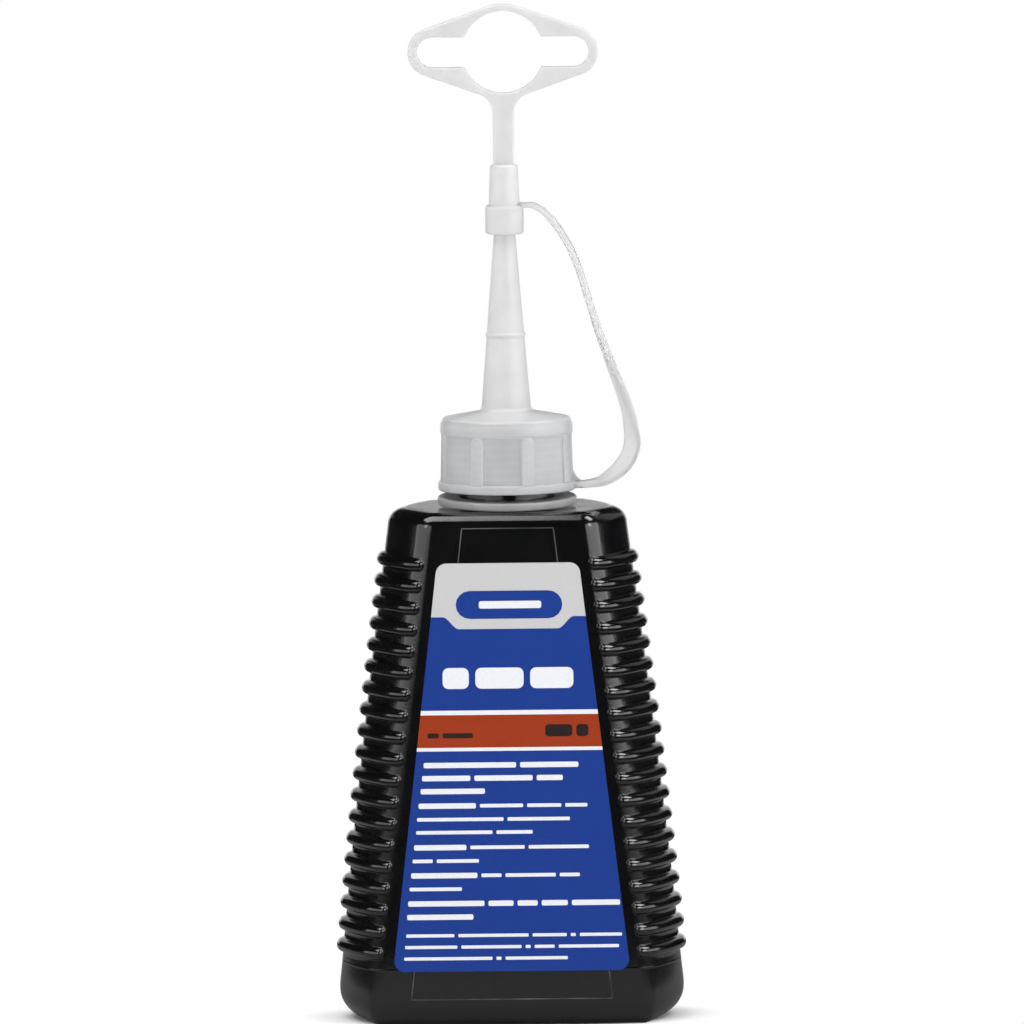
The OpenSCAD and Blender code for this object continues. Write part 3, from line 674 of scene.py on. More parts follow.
def make_bottle():
    shoulder = wall_ring(BODY_HEIGHT, 0, False)
    turns = [math.degrees(math.atan2(p[1], p[0])) for p in shoulder]

    def circle(radius, z):
        return level_ring(turns, radius, z)

    def threaded(z):
        low, high = BODY_HEIGHT + 3.6, NECK_TOP - 1.0
        return circle(lambda t: NECK_RADIUS + THREAD_HEIGHT * thread_rise(t, z, low, high, 0.0), z)

    foot_levels = [FOOT_ROUND_SIDE * (1 - cos_d(90 * k / 14)) for k in range(15)]
    band_levels = [8.6] + [FOOT_BAND_HEIGHT + up for up in (-0.3, -0.12, 0.0, 0.12, 0.3)]
    steps = [0.22, 0.44, 0.65, 0.82, 0.94, 1.02, 1.08, 1.14, 1.18, 1.23, 1.29, 1.35]
    offsets = [-s for s in reversed(steps)] + [0.0] + steps + [RIB_PITCH / 2]
    rib_levels = [FIRST_RIB - RIB_PITCH / 2]
    rib_levels += [FIRST_RIB + RIB_PITCH * k + o for k in range(RIB_COUNT) for o in offsets]
    top_levels = [BODY_HEIGHT - SHOULDER_ROUND * (1 - sin_d(90 * k / 12)) for k in range(13)]
    # across the foot, up the wall, over the shoulder and up the neck
    rings = [blend_rings(wall_ring(0, 0, False), circle(3.0, 0), share) for share in (0.95, 0.55, 0.2)]
    levels = foot_levels + band_levels + rib_levels + [90.6, 92.0] + top_levels
    rings += [wall_ring(z, 0, True) for z in levels]
    plateau = circle(NECK_RADIUS, BODY_HEIGHT)
    rings += [blend_rings(shoulder, plateau, share) for share in (0.12, 0.3, 0.55, 0.8, 1.0)]
    neck_steps = int((NECK_LENGTH - 1.0) / THREAD_STEP)
    rings += [threaded(BODY_HEIGHT + 0.3 + THREAD_STEP * k) for k in range(neck_steps)]
    # over the mouth, down the bore and down the chamber's wall
    ceiling_z = BODY_HEIGHT - BOTTLE_WALL
    rings += [circle(NECK_RADIUS, NECK_TOP - 0.45), circle(NECK_RADIUS - 0.12, NECK_TOP - 0.14),
              circle(NECK_RADIUS - 0.4, NECK_TOP), circle(NECK_BORE_RADIUS + 0.35, NECK_TOP),
              circle(NECK_BORE_RADIUS + 0.1, NECK_TOP - 0.1), circle(NECK_BORE_RADIUS, NECK_TOP - 0.35),
              circle(NECK_BORE_RADIUS, ceiling_z + 0.5), circle(NECK_BORE_RADIUS + 0.5, ceiling_z)]
    inner_levels = foot_levels[::3] + [FOOT_BAND_HEIGHT] + [14.0 + 6.0 * k for k in range(14)] + [ceiling_z]
    rings += [[(x, y, BOTTLE_WALL + z * (ceiling_z - BOTTLE_WALL) / ceiling_z)
               for x, y, z in wall_ring(z, BOTTLE_WALL, False, fine=False)] for z in reversed(inner_levels)]
    points, faces = loft(rings)
    piece = make_piece("bottle_shell", points, faces, [BLACK], sharp=50)
    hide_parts("bottle")
    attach(piece, "bottle_body")


def front_y(z):
    """Depth of the front panel's surface at a height."""
    deep = (HALF_DEPTH - band_lean(z)) / HALF_DEPTH
    return -(HALF_DEPTH - min(draw_in(z), DEEPEST_IN)) * deep


def make_panel_line():
    """Fine raised line that the mould's insert leaves on the front panel, above and below the label."""
    width, height = 0.26, 0.062
    top_z, foot_z, top_half, foot_half = 93.25, 5.1, 8.5, 18.75

    def side_x(z):
        return top_half + (foot_half - top_half) * (top_z - z) / (top_z - foot_z)

    def straight(start, end, steps):
        return [(start[0] + (end[0] - start[0]) * k / steps, start[1] + (end[1] - start[1]) * k / steps)
                for k in range(steps + 1)]

    # each run goes from beside the label to a corner, across the panel and back down or up
    runs = []
    above, below = LABEL_Z + LABEL_HEIGHT + 0.1, LABEL_Z - 0.1
    for edge_z, corner_z, half, side_steps, steps in ((above, top_z, top_half, 26, 60),
                                                      (below, foot_z, foot_half, 20, 110)):
        runs.append(straight((-side_x(edge_z), edge_z), (-half, corner_z), side_steps)
                    + straight((-half, corner_z), (half, corner_z), steps)[1:]
                    + straight((half, corner_z), (side_x(edge_z), edge_z), side_steps)[1:])
    points, faces = [], []
    for number, run in enumerate(runs):
        rings = []
        for k, (x, z) in enumerate(run):
            before, after = run[max(0, k - 1)], run[min(len(run) - 1, k + 1)]
            along = Vector((after[0] - before[0], after[1] - before[1])).normalized()
            across = Vector((-along.y, along.x))
            wander = 2.1 * k + 3.0 * math.sin(0.37 * k + number)
            worn = 0.62 + 0.38 * math.sin(wander) * math.cos(0.9 * k + number)
            rise = height * max(0.25, worn)
            section = []
            flank, sunk = rise * 0.75, -0.02
            for side, out in ((-1.0, sunk), (-0.5, flank), (0.0, rise), (0.5, flank), (1.0, sunk)):
                px, pz = x + across.x * side * width / 2, z + across.y * side * width / 2
                section.append((px, front_y(pz) - out, pz))
            rings.append(section)
        made_points, made_faces = loft(rings)
        faces += [tuple(i + len(points) for i in f) for f in made_faces]
        points += made_points
    # lighter plastic on the line: partly wear, partly a painted highlight
    piece = make_piece("panel_line", points, faces, [BLACK_WORN_AND_HIGHLIGHT], sharp=60)
    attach(piece, "bottle_body")


# ---------------------------------------------------------------------------------------------
# Label
# ---------------------------------------------------------------------------------------------
FILM_FRONT = -(HALF_DEPTH + 0.105)
PRINT_FRONT = -(HALF_DEPTH + 0.118)
FRONT_ROW_AT_FOOT = 1024.95   # photograph row of the foot's level on the front panel
PIXELS_PER_MM_UP = 5.326
AXIS_COLUMN, AXIS_ROW, AXIS_LEAN = 512.0, 995.0, 0.0097   # the bottle's axis in the photograph
FIELD_ROWS = (616.0, 628.0, 709.0, 713.5, 746.0, 749.5)   # edges of the printed fields, downwards
DIP_INNER, DIP_OUTER = 9.0, 12.2   # where the grey field's edge bends, sideways from the middle
WORD_GAP = 4.0
WHITE_RISE = 0.0015           # of the white bars over the badge that one of them crosses


def row_z(row):
    """Height on the front panel of a photograph row."""
    return (FRONT_ROW_AT_FOOT - row) / PIXELS_PER_MM_UP


def column_x(column, row):
    """Sideways place on the front panel of a photograph column."""
    return (column - (AXIS_COLUMN - (AXIS_ROW - row) * AXIS_LEAN)) * MM_PER_PIXEL


def label_half(z):
    """Half the label's width at a height, with its rounded corners."""
    up = z - LABEL_Z
    slope = math.atan((LABEL_FOOT - LABEL_TOP) / 2 / LABEL_HEIGHT)
    side = LABEL_FOOT / 2 - (LABEL_FOOT - LABEL_TOP) / 2 * up / LABEL_HEIGHT
    foot_centre = LABEL_FOOT / 2 - LABEL_CORNER / math.tan((math.pi / 2 - slope) / 2)
    top_centre = LABEL_TOP / 2 - LABEL_CORNER / math.tan((math.pi / 2 + slope) / 2)
    if up < LABEL_CORNER * (1 + math.sin(slope)):
        return foot_centre + math.sqrt(max(0.0, LABEL_CORNER ** 2 - (LABEL_CORNER - up) ** 2))
    if up > LABEL_HEIGHT - LABEL_CORNER * (1 - math.sin(slope)):
        down = LABEL_CORNER - (LABEL_HEIGHT - up)
        return top_centre + math.sqrt(max(0.0, LABEL_CORNER ** 2 - down ** 2))
    return side


def make_label():
    """The film, with a printed field for each colour: its rows follow the fields' edges."""
    top = LABEL_Z + LABEL_HEIGHT
    grey_edge, grey_dip, upper_white, orange_top, orange_foot, lower_white = map(row_z, FIELD_ROWS)

    def edge_at(x):
        """Lower edge of the grey field, which dips in the middle."""
        return grey_dip + (grey_edge - grey_dip) * ease(DIP_INNER, DIP_OUTER, abs(x))

    corner = [LABEL_CORNER * (1 - cos_d(90 * k / 10)) for k in range(11)]
    rows = [LABEL_Z + c for c in corner]
    rows += [LABEL_Z + LABEL_CORNER + (lower_white - LABEL_Z - LABEL_CORNER) * k / 12 for k in range(1, 12)]
    rows += [lower_white, orange_foot]
    rows += [orange_foot + (orange_top - orange_foot) * k / 3 for k in (1, 2)]
    rows += [orange_top, upper_white]
    rows += [upper_white + (grey_dip - 1.0 - upper_white) * k / 6 for k in range(1, 7)]
    bent_row = len(rows)
    rows += ["bent", grey_edge + 0.8]
    rows += [grey_edge + 0.8 + (top - LABEL_CORNER - grey_edge - 0.8) * k / 3 for k in (1, 2, 3)]
    rows += [top - c for c in reversed(corner[:-1])]
    columns = 120
    count = columns + 1
    shares = [-1 + 2 * k / columns for k in range(count)]
    grid = []
    for row in rows:
        levels = [edge_at(share * label_half(grey_edge)) if row == "bent" else row for share in shares]
        grid.append([(share * label_half(z), z) for share, z in zip(shares, levels)])
    points = [(x, y, z) for y in (FILM_FRONT, -HALF_DEPTH + 0.01) for line in grid for x, z in line]
    shift = len(grid) * count
    grey, blue, orange, white = range(4)
    faces, inks = [], []

    def ink_of(row_number):
        if row_number >= bent_row:
            return grey
        low, high = rows[row_number], rows[row_number + 1]
        middle = (low + (grey_dip if high == "bent" else high)) / 2
        if lower_white < middle < orange_foot or orange_top < middle < upper_white:
            return white
        return orange if orange_foot < middle < orange_top else blue

    for r in range(len(grid) - 1):
        for c in range(columns):
            a, b = r * count + c, r * count + c + 1
            faces.append((a, b, b + count, a + count))
            faces.append((shift + a, shift + a + count, shift + b + count, shift + b))
            inks += [ink_of(r), white]
    rim = list(range(count)) + [r * count + columns for r in range(1, len(grid))]
    rim += [(len(grid) - 1) * count + c for c in range(columns - 1, -1, -1)]
    rim += [r * count for r in range(len(grid) - 2, 0, -1)]
    for a, b in zip(rim, rim[1:] + rim[:1]):
        faces.append((a, a + shift, b + shift, b))
        inks.append(white)
    piece = make_piece("label_film", points, faces, [INK_GREY, INK_BLUE, INK_ORANGE, INK_WHITE],
                       sharp=30, face_materials=inks, flip_check=False)
    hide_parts("front_label")
    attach(piece, "bottle_body")


def bar(start, end, middle, height, corner):
    """Outline of a plain bar with broken corners, from start to end, in x and height."""
    radius = min(corner * height, (end - start) / 2)
    left, right = start + radius, end - radius
    low, high = middle - height / 2 + radius, middle + height / 2 - radius
    outline = []
    for centre, first in (((right, low), -90), ((right, high), 0), ((left, high), 90), ((left, low), 180)):
        outline += arc_points(centre, radius, first, first + 90, 4)
    return outline


def make_print(name, bars, material):
    """Plain bars of ink, a hair proud of the film."""
    points, faces = [], []
    for outline in bars:
        count, base = len(outline), len(points)
        points += [(x, PRINT_FRONT, z) for x, z in outline]
        points += [(x, FILM_FRONT + 0.004, z) for x, z in outline]
        faces.append(tuple(base + k for k in range(count)))
        faces.append(tuple(base + count + k for k in reversed(range(count))))
        faces += [(base + k, base + count + k, base + count + (k + 1) % count, base + (k + 1) % count)
                  for k in range(count)]
    piece = make_piece(name, points, faces, [material], sharp=30)
    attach(piece, "bottle_body")
    return piece


def word_bars(row, start, height, words, gap=WORD_GAP, corner=0.28):
    """Bars in a row of the photograph, each a word long. Columns, rows and heights are pixels."""
    bars, column = [], start
    for length in words:
        left, right = column_x(column, row), column_x(column + length, row)
        bars.append(bar(left, right, row_z(row), height * MM_PER_PIXEL, corner))
        column += length + gap
    return bars


def make_label_print():
    """Generic bars in place of words: a badge, a heading, a band and a block of small rows."""
    heavy, plain, small = 5.4, 3.6, 3.2
    badge_row, heading_row, band_row, right_row = 604.0, 677.0, 734.0, 729.5
    white = word_bars(badge_row, 479.0, 7.5, [62.0])
    white += word_bars(heading_row, 443.0, 21.0, [26.0, 48.0, 43.0], gap=6.5)
    # small rows: the row, its first column, and the words of each weight, in pixels
    blocks = [
        (763.5, 424.0, [(heavy, [92.0, 58.0])]),
        (776.5, 422.5, [(heavy, [48.0, 58.0, 26.0])]),
        (789.5, 421.0, [(heavy, [64.0])]),
        (804.0, 419.0, [(heavy, [57.0]), (plain, [43.0, 34.0, 22.0])]),
        (817.5, 417.5, [(plain, [86.0, 62.0])]),
        (830.5, 416.5, [(plain, [76.0, 36.0])]),
        (845.5, 414.5, [(heavy, [52.0]), (plain, [54.0, 60.0])]),
        (859.0, 413.0, [(plain, [20.0, 42.0])]),
        (873.5, 411.5, [(heavy, [66.0]), (plain, [20.0, 50.0, 20.0])]),
        (887.0, 410.0, [(plain, [52.0])]),
        (901.5, 408.5, [(heavy, [76.0, 25.0, 20.0, 26.0, 48.0])]),
        (915.0, 407.5, [(heavy, [66.0])]),
        (933.5, 406.5, [(small, [48.0, 70.0, 34.0, 5.0, 42.0])]),
        (945.0, 405.5, [(small, [52.0, 60.0, 5.0, 20.0, 60.0])]),
        (956.5, 404.5, [(small, [88.0, 5.0, 62.0])]),
    ]
    for row, start, parts in blocks:
        column = start
        for height, words in parts:
            white += word_bars(row, column, height, words)
            column += sum(words) + WORD_GAP * len(words)
    badge = word_bars(badge_row, 456.0, 28.0, [106.0], corner=0.5)
    dark = word_bars(band_row, 428.0, 5.0, [11.0, 30.0]) + word_bars(right_row, 545.0, 12.0, [27.0, 12.0])
    make_print("label_badge", badge, INK_BLUE)
    raised = make_print("label_bars_white", white, INK_WHITE)
    raised.data.transform(Matrix.Translation((0, -WHITE_RISE * MM, 0)))
    make_print("label_bars_black", dark, INK_BLACK)


# ---------------------------------------------------------------------------------------------
# Neck ring
# ---------------------------------------------------------------------------------------------
def make_neck_ring():
    low, high = RING_Z, RING_Z + RING_THICKNESS
    inner_wall = (RING_HOLE_RADIUS, low + 0.9, 0)
    profile = rounded([inner_wall, (RING_HOLE_RADIUS, low, 0.15), (RING_RADIUS, low, 0.35),
                       (RING_RADIUS, high, 0.45), (RING_HOLE_RADIUS, high, 0.2), inner_wall])
    points, faces = loft(turned(profile, even_turns(144)), close_start=False, close_end=False)
    # the loose ring rests on the shoulder with its front edge down and its back edge up
    points = [(x, y, low + (z - low) * cos_d(RING_TILT) + (y + RING_RADIUS) * sin_d(RING_TILT))
              for x, y, z in points]
    piece = make_piece("neck_ring_moulding", points, faces, [MILKY_RING_PAINTED_SHADE])
    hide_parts("neck_ring")
    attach(piece, "ring_body")


# ---------------------------------------------------------------------------------------------
# Screw cap with its nozzle
# ---------------------------------------------------------------------------------------------
GRIP_PITCH = 360.0 / GRIP_COUNT


def nozzle_radius(z):
    return NOZZLE_ROOT - (NOZZLE_ROOT - NOZZLE_TIP) / NOZZLE_LENGTH * (z - NOZZLE_Z)


def cap_turns():
    """Directions round the cap, close together where the grip ribs' edges lie."""
    steps = [0, 2.2, 4.2, 4.7, 5.0, 5.3, 5.6, 5.9, 6.3, 9, 12, 15, 18.5]
    offsets = [-s for s in reversed(steps[1:])] + steps + [GRIP_PITCH / 2]
    return [-90 + GRIP_TURN + GRIP_PITCH * k + offset for k in range(GRIP_COUNT) for offset in offsets]


def grip_rise(turn, up, radius):
    """Height of the skirt's thick parts: the upper band and the grip bars, with softly broken edges."""
    off = (turn + 90 - GRIP_TURN) / GRIP_PITCH
    aside = abs(off - round(off)) * math.radians(GRIP_PITCH) * radius
    over = max(0.0, up - (GRIP_TOP - GRIP_WIDTH / 2))
    inside = GRIP_WIDTH / 2 - math.hypot(aside, over)
    return max(GRIP_HEIGHT * ease(-0.10, 0.12, inside), BAND_HEIGHT * ease(-0.2, 0.2, up - GRIP_TOP))


def skirt_radius(up):
    return SKIRT_FOOT_RADIUS - (SKIRT_FOOT_RADIUS - SKIRT_TOP_RADIUS) * up / CAP_HEIGHT


def make_cap():
    turns = cap_turns()
    rings = []

    def ring(radius, z):
        rings.append(level_ring(turns, radius, z))

    def rings_through(profile):
        for radius, z in profile:
            ring(radius, z)

    seal, way_radius = NECK_TOP + SEAL_PLAY, NOZZLE_ROOT - NOZZLE_WALL
    # from the socket's mouth out and up to the grip ribs
    rings_through(rounded([(SOCKET_RADIUS, CAP_Z + 0.6, 0), (SOCKET_RADIUS + 0.1, CAP_Z, 0.25),
                           (FLANGE_RADIUS, CAP_Z, 0.30), (FLANGE_RADIUS, CAP_Z + FLANGE_HEIGHT, 0.35),
                           (skirt_radius(FLANGE_HEIGHT) + 0.02, CAP_Z + FLANGE_HEIGHT, 0)])[:-1])
    high = CAP_HEIGHT - 1.0
    levels = [FLANGE_HEIGHT + 0.02, 2.2, 4.2, 6.2, 8.0, 9.0]
    levels += [9.3 + 0.12 * k for k in range(14)] + [11.4, high]
    for up in levels:
        ring(lambda t: skirt_radius(up) + grip_rise(t, up, skirt_radius(up)), CAP_Z + up)
    # rim, shallow cone, nozzle, bead and tip
    bead_z = NOZZLE_Z + BEAD_HEIGHT
    rings_through(rounded([(skirt_radius(high), CAP_Z + high, 0),
                           (SKIRT_TOP_RADIUS, CAP_Z + CAP_HEIGHT, 0.8),
                           (NOZZLE_ROOT, NOZZLE_Z, 1.1), (nozzle_radius(bead_z), bead_z, 0)])[1:-1])
    for k in range(1, 5):
        z = NOZZLE_Z + 2.0 + (BEAD_HEIGHT - 2.4) * k / 4
        ring(nozzle_radius(z), z)
    for up, rise in ((-0.15, 0.0), (0.05, 0.5), (0.2, 0.9), (0.35, 1.0),
                     (0.5, 0.9), (0.65, 0.5), (0.85, 0.0)):
        z = bead_z + up
        ring(nozzle_radius(z) + BEAD_RISE * rise, z)
    for k in range(1, 9):
        z = bead_z + 1.2 + (TIP_Z - 0.5 - bead_z - 1.2) * k / 8
        ring(nozzle_radius(z), z)
    rings_through(rounded([(nozzle_radius(TIP_Z - 0.5), TIP_Z - 0.5, 0), (NOZZLE_TIP, TIP_Z, 0.3),
                           (OUTLET_RADIUS, TIP_Z, 0.12), (OUTLET_RADIUS, TIP_Z - 1.0, 0)])[1:])
    # down the tapered way and back to the socket, with the thread on its wall
    rings_through([(OUTLET_RADIUS, COLLAR_Z), (way_radius, NOZZLE_Z), (way_radius, seal + 0.25)])
    rings_through(rounded([(way_radius, seal + 0.25, 0), (way_radius + 0.25, seal, 0),
                           (NECK_RADIUS - 1.0, seal, 0), (SOCKET_RADIUS, seal, 0.4),
                           (SOCKET_RADIUS, seal - 1.0, 0)])[1:-1])
    for k in range(int((seal - 0.7 - CAP_Z - 0.9) / THREAD_STEP) + 1):
        z = seal - 0.7 - THREAD_STEP * k
        ring(lambda t: SOCKET_RADIUS - SOCKET_THREAD_HEIGHT
             * thread_rise(t, z, CAP_Z + 1.2, seal - 0.9, THREAD_PITCH / 2), z)
    rings.append(rings[0])
    points, faces = loft(rings, close_start=False, close_end=False)
    cap = make_piece("screw_cap", points, faces, [MILKY_CAP_PAINTED_SHADE, MILKY, MILKY_CONE], sharp=34)
    skirt, nozzle, cone = range(3)   # the rim, wall and inside count as skirt
    for face in cap.data.polygons:
        up, radius = face.center.z / MM - CAP_Z - CAP_HEIGHT, math.hypot(face.center.x, face.center.y) / MM
        above_skirt = up > -0.15 or (radius < 6.0 and up > -0.6)
        face.material_index = skirt if not above_skirt else nozzle if radius < NOZZLE_ROOT + 0.4 else cone
    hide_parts("nozzle_cap")
    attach(cap, "cap_body")


def make_gusset():
    """Small web over the strap's root on the flange."""
    half, foot, broken = 0.6, CAP_Z + 1.3, 0.12
    outline = [(12.2, foot), (13.95, foot), (13.95, foot + 0.25), (13.3, foot + 0.7), (12.8, foot + 1.35),
               (12.45, foot + 2.1), (12.2, foot + 2.1)]
    rings = []
    for y, shrink in ((-half, broken), (-half + broken, 0.0), (half - broken, 0.0), (half, broken)):
        rings.append([(x - shrink if x > 12.3 else x, y, z) for x, z in outline])
    points, faces = loft(rings)
    piece = make_piece("strap_gusset", points, faces, [MILKY_CAP_PAINTED_SHADE], sharp=40)
    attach(piece, "cap_body")


# ---------------------------------------------------------------------------------------------
# Tip closure with its hanger
# ---------------------------------------------------------------------------------------------
def hanger_outline():
    """Outer outline of the stem and hanger, from the stem's right foot round to its left foot."""
    big, small = HANGER_HOLE_RADIUS + HANGER_WALL, SLOT_HALF + SLOT_WALL
    end_x = SLOT_LENGTH / 2 + SLOT_WALL - small
    lean = math.degrees(math.acos((big - small) / end_x))
    nx, nz = cos_d(lean), sin_d(lean)
    fillet_x = STEM_WIDTH / 2 + STEM_FILLET
    fillet_z = -(big + STEM_FILLET - nx * fillet_x) / nz
    right = [(STEM_WIDTH / 2, -HANGER_REACH - 1.2)]
    right += arc_points((fillet_x, fillet_z), STEM_FILLET, 180, 180 - lean, 14)
    right += arc_points((end_x, 0), small, -lean, lean, 26)
    top = arc_points((0, 0), big, lean, 180 - lean, 18)
    left = [(-x, z) for x, z in reversed(right)]
    return right + top + left


def hanger_cut():
    """Inner outline: the round hole with a slot out of it to each side, its corners softened."""
    reach = math.sqrt(HANGER_HOLE_RADIUS ** 2 - SLOT_HALF ** 2)
    meet = math.degrees(math.atan2(SLOT_HALF, reach))
    end = SLOT_LENGTH / 2 - SLOT_HALF
    cut = []
    for side, flip in ((0, 1), (180, -1)):
        soft = [(flip * (reach + along), flip * (SLOT_HALF + up))
                for along, up in ((0.35, 0.0), (0.08, 0.07))]
        cut += arc_points((end * flip, 0), SLOT_HALF, side - 90, side + 90, 20) + soft
        cut += arc_points((0, 0), HANGER_HOLE_RADIUS, side + meet + 2.6, side + 180 - meet - 2.6, 44)
        cut += [(-x, z) for x, z in reversed(soft)]
    return cut


def flat_plate(name, outlines, thickness, edge, material):
    """A plate from flat outlines, the later ones cut out of the first, with its edges rounded."""
    curve = bpy.data.curves.new(name, "CURVE")
    curve.dimensions, curve.fill_mode = "2D", "BOTH"
    curve.extrude, curve.bevel_depth = (thickness / 2 - edge) * MM, edge * MM
    curve.bevel_resolution, curve.offset = 3, -edge * MM
    for outline in outlines:
        spline = curve.splines.new("POLY")
        spline.points.add(len(outline) - 1)
        for point, (x, z) in zip(spline.points, outline):
            point.co = (x * MM, z * MM, 0, 1)
        spline.use_cyclic_u = True
    holder = place_object(name, curve)
    bpy.context.view_layer.update()
    mesh = bpy.data.meshes.new_from_object(holder.evaluated_get(bpy.context.evaluated_depsgraph_get()))
    bpy.data.objects.remove(holder)
    for vertex in mesh.vertices:
        x, y, z = vertex.co
        vertex.co = (x, z, y + HOLE_Z * MM)
    mesh.materials.clear()
    mesh.materials.append(material)
    piece = place_object(name, mesh)
    form = bmesh.new()
    form.from_mesh(mesh)
    bmesh.ops.remove_doubles(form, verts=form.verts, dist=2e-6)
    bmesh.ops.recalc_face_normals(form, faces=form.faces)
    form.to_mesh(mesh)
    form.free()
    return piece


def make_closure():
    plate = flat_plate("hanger_plate", [hanger_outline(), hanger_cut()], HANGER_THICKNESS, 0.35, MILKY)
    mouth, end_radius = (nozzle_radius(z) + CLOSURE_PLAY for z in (COLLAR_Z, SOCKET_END))
    hub, lip_z = 0.001, COLLAR_Z + 0.8
    outside = rounded([(mouth, lip_z, 0), (mouth + 0.15, COLLAR_Z, 0.15),
                       (COLLAR_RADIUS, COLLAR_Z, 0.6), (COLLAR_RADIUS, SLEEVE_Z, 0.6),
                       (SLEEVE_FOOT, SLEEVE_Z, 0.25), (SLEEVE_TOP, SLEEVE_TOP_Z, 0.7),
                       (hub, SLEEVE_TOP_Z, 0)])
    inside = [(hub, SOCKET_END), (end_radius, SOCKET_END), (mouth, lip_z)]
    points, faces = loft(turned(outside + inside, even_turns(72)), close_start=False, close_end=False)
    sleeve = make_piece("closure_sleeve", points, faces, [MILKY])
    piece = fuse_pieces("tip_closure_moulding", [sleeve, plate], sharp=38)
    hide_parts("tip_closure")
    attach(piece, "closure_body")


# ---------------------------------------------------------------------------------------------
# Tether strap
# ---------------------------------------------------------------------------------------------
STRAP_START = (FLANGE_RADIUS + CAP_LUG, CAP_Z + FLANGE_HEIGHT / 2)
STRAP_END = (COLLAR_RADIUS + CLOSURE_LUG, SLEEVE_Z)
# the middle line's stops out to the widest bow and in to the closure: share of the way sideways,
# share of the way up, share of the full twist
OUTWARD = [(0.15, 0.003, 0.06), (0.32, 0.008, 0.26), (0.53, 0.026, 0.60), (0.73, 0.053, 0.86),
           (0.89, 0.088, 0.98), (0.965, 0.118, 1.00), (1.00, 0.150, 0.98)]
INWARD = [(0.985, 0.208, 0.78), (0.952, 0.268, 0.60), (0.898, 0.326, 0.48), (0.839, 0.383, 0.40),
          (0.779, 0.441, 0.31), (0.719, 0.498, 0.22), (0.660, 0.556, 0.14), (0.611, 0.614, 0.07),
          (0.564, 0.670, 0.02), (0.516, 0.727, 0), (0.463, 0.785, 0), (0.398, 0.842, 0),
          (0.318, 0.893, 0), (0.240, 0.934, 0), (0.150, 0.970, 0), (0.065, 0.992, 0)]


def smooth_curve(a, b, c, d, t):
    """The point at share t of the way from b to c on a smooth line through four stops."""
    return [(2 * q + (r - p) * t + (2 * p - 5 * q + 4 * r - s) * t * t
             + (3 * q - p - 3 * r + s) * t ** 3) / 2 for p, q, r, s in zip(a, b, c, d)]


def strap_route():
    """Middle line of the strap as (x, z, twist), from inside the flange to inside the sleeve."""
    rise = STRAP_END[1] - STRAP_START[1]
    stops = [(STRAP_START[0], STRAP_START[1], 0.0)]
    for root, shares in ((STRAP_START[0], OUTWARD), (STRAP_END[0], INWARD)):
        stops += [(root + (STRAP_REACH - root) * s, STRAP_START[1] + rise * t, STRAP_TWIST * w)
                  for s, t, w in shares]
    stops += [(STRAP_END[0], STRAP_END[1], 0.0)]
    stops = [(11.9, STRAP_START[1], 0.0), (13.2, STRAP_START[1], 0.0)] + stops
    stops += [(3.9, STRAP_END[1], 0.0), (2.6, STRAP_END[1], 0.0)]
    line = []
    for k in range(len(stops) - 1):
        a, d = stops[max(0, k - 1)], stops[min(len(stops) - 1, k + 2)]
        line += [smooth_curve(a, stops[k], stops[k + 1], d, j / 6) for j in range(6)]
    return line + [list(stops[-1])]


def make_strap():
    route = strap_route()
    corners = [(a, b, 0.24) for a, b in ((0.5, -0.5), (-0.5, -0.5), (-0.5, 0.5), (0.5, 0.5))]
    section = rounded([(0.5, 0.0, 0)] + corners + [(0.5, 0.0, 0)], steps=5)[:-1]
    rings = []
    last = len(route) - 1
    for k, (x, z, twist) in enumerate(route):
        before, after = route[max(0, k - 1)], route[min(last, k + 1)]
        along = Vector((after[0] - before[0], after[1] - before[1])).normalized()
        across = Vector((-along.y * sin_d(twist), cos_d(twist), along.x * sin_d(twist)))
        through = Vector((along.y * cos_d(twist), sin_d(twist), -along.x * cos_d(twist)))
        share = k / last
        depth = STRAP_THICKNESS + (STRAP_THIN - STRAP_THICKNESS) * ease(0.80, 0.97, share)
        width = STRAP_WIDTH + 1.3 * ease(14.2, 12.7, x) * (1 if share < 0.3 else 0)
        middle = Vector((x, 0, z))
        rings.append([tuple(middle + across * a * width + through * (b * depth)) for a, b in section])
    points, faces = loft(rings)
    piece = make_piece("strap_band", points, faces, [MILKY_BAND], sharp=50)
    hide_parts("tether_strap")
    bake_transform(piece)


# ---------------------------------------------------------------------------------------------
# Studio: floor, lamps, surroundings and camera
# ---------------------------------------------------------------------------------------------
FLOOR_REACH, FLOOR_DROP = 6.0, 0.00002
SHADOW_START, SHADOW_END = 0.030, 0.041    # where the kept shadow fades into white
SHEET_MIDDLE, SHEET_SHADE = 0.03, 0.70     # the sheet of paper that the plastic mirrors
SHEET_DEPTH, SHEET_SIDE = (0.075, 0.135), (0.08, 0.15)
FILL_LIGHT = 0.06
BACKDROP_SIDES, BACKDROP_TOP = (0.88, 0.97), (0.19, 0.02)   # where its mirror image fades, as directions
CAMERA_RISE, CAMERA_ROLL, CAMERA_LENS, CAMERA_SENSOR = 5.5, 0.57, 400.0, 36.0
CAMERA_AIM = (0.88, 0.0, 94.8)             # millimetres
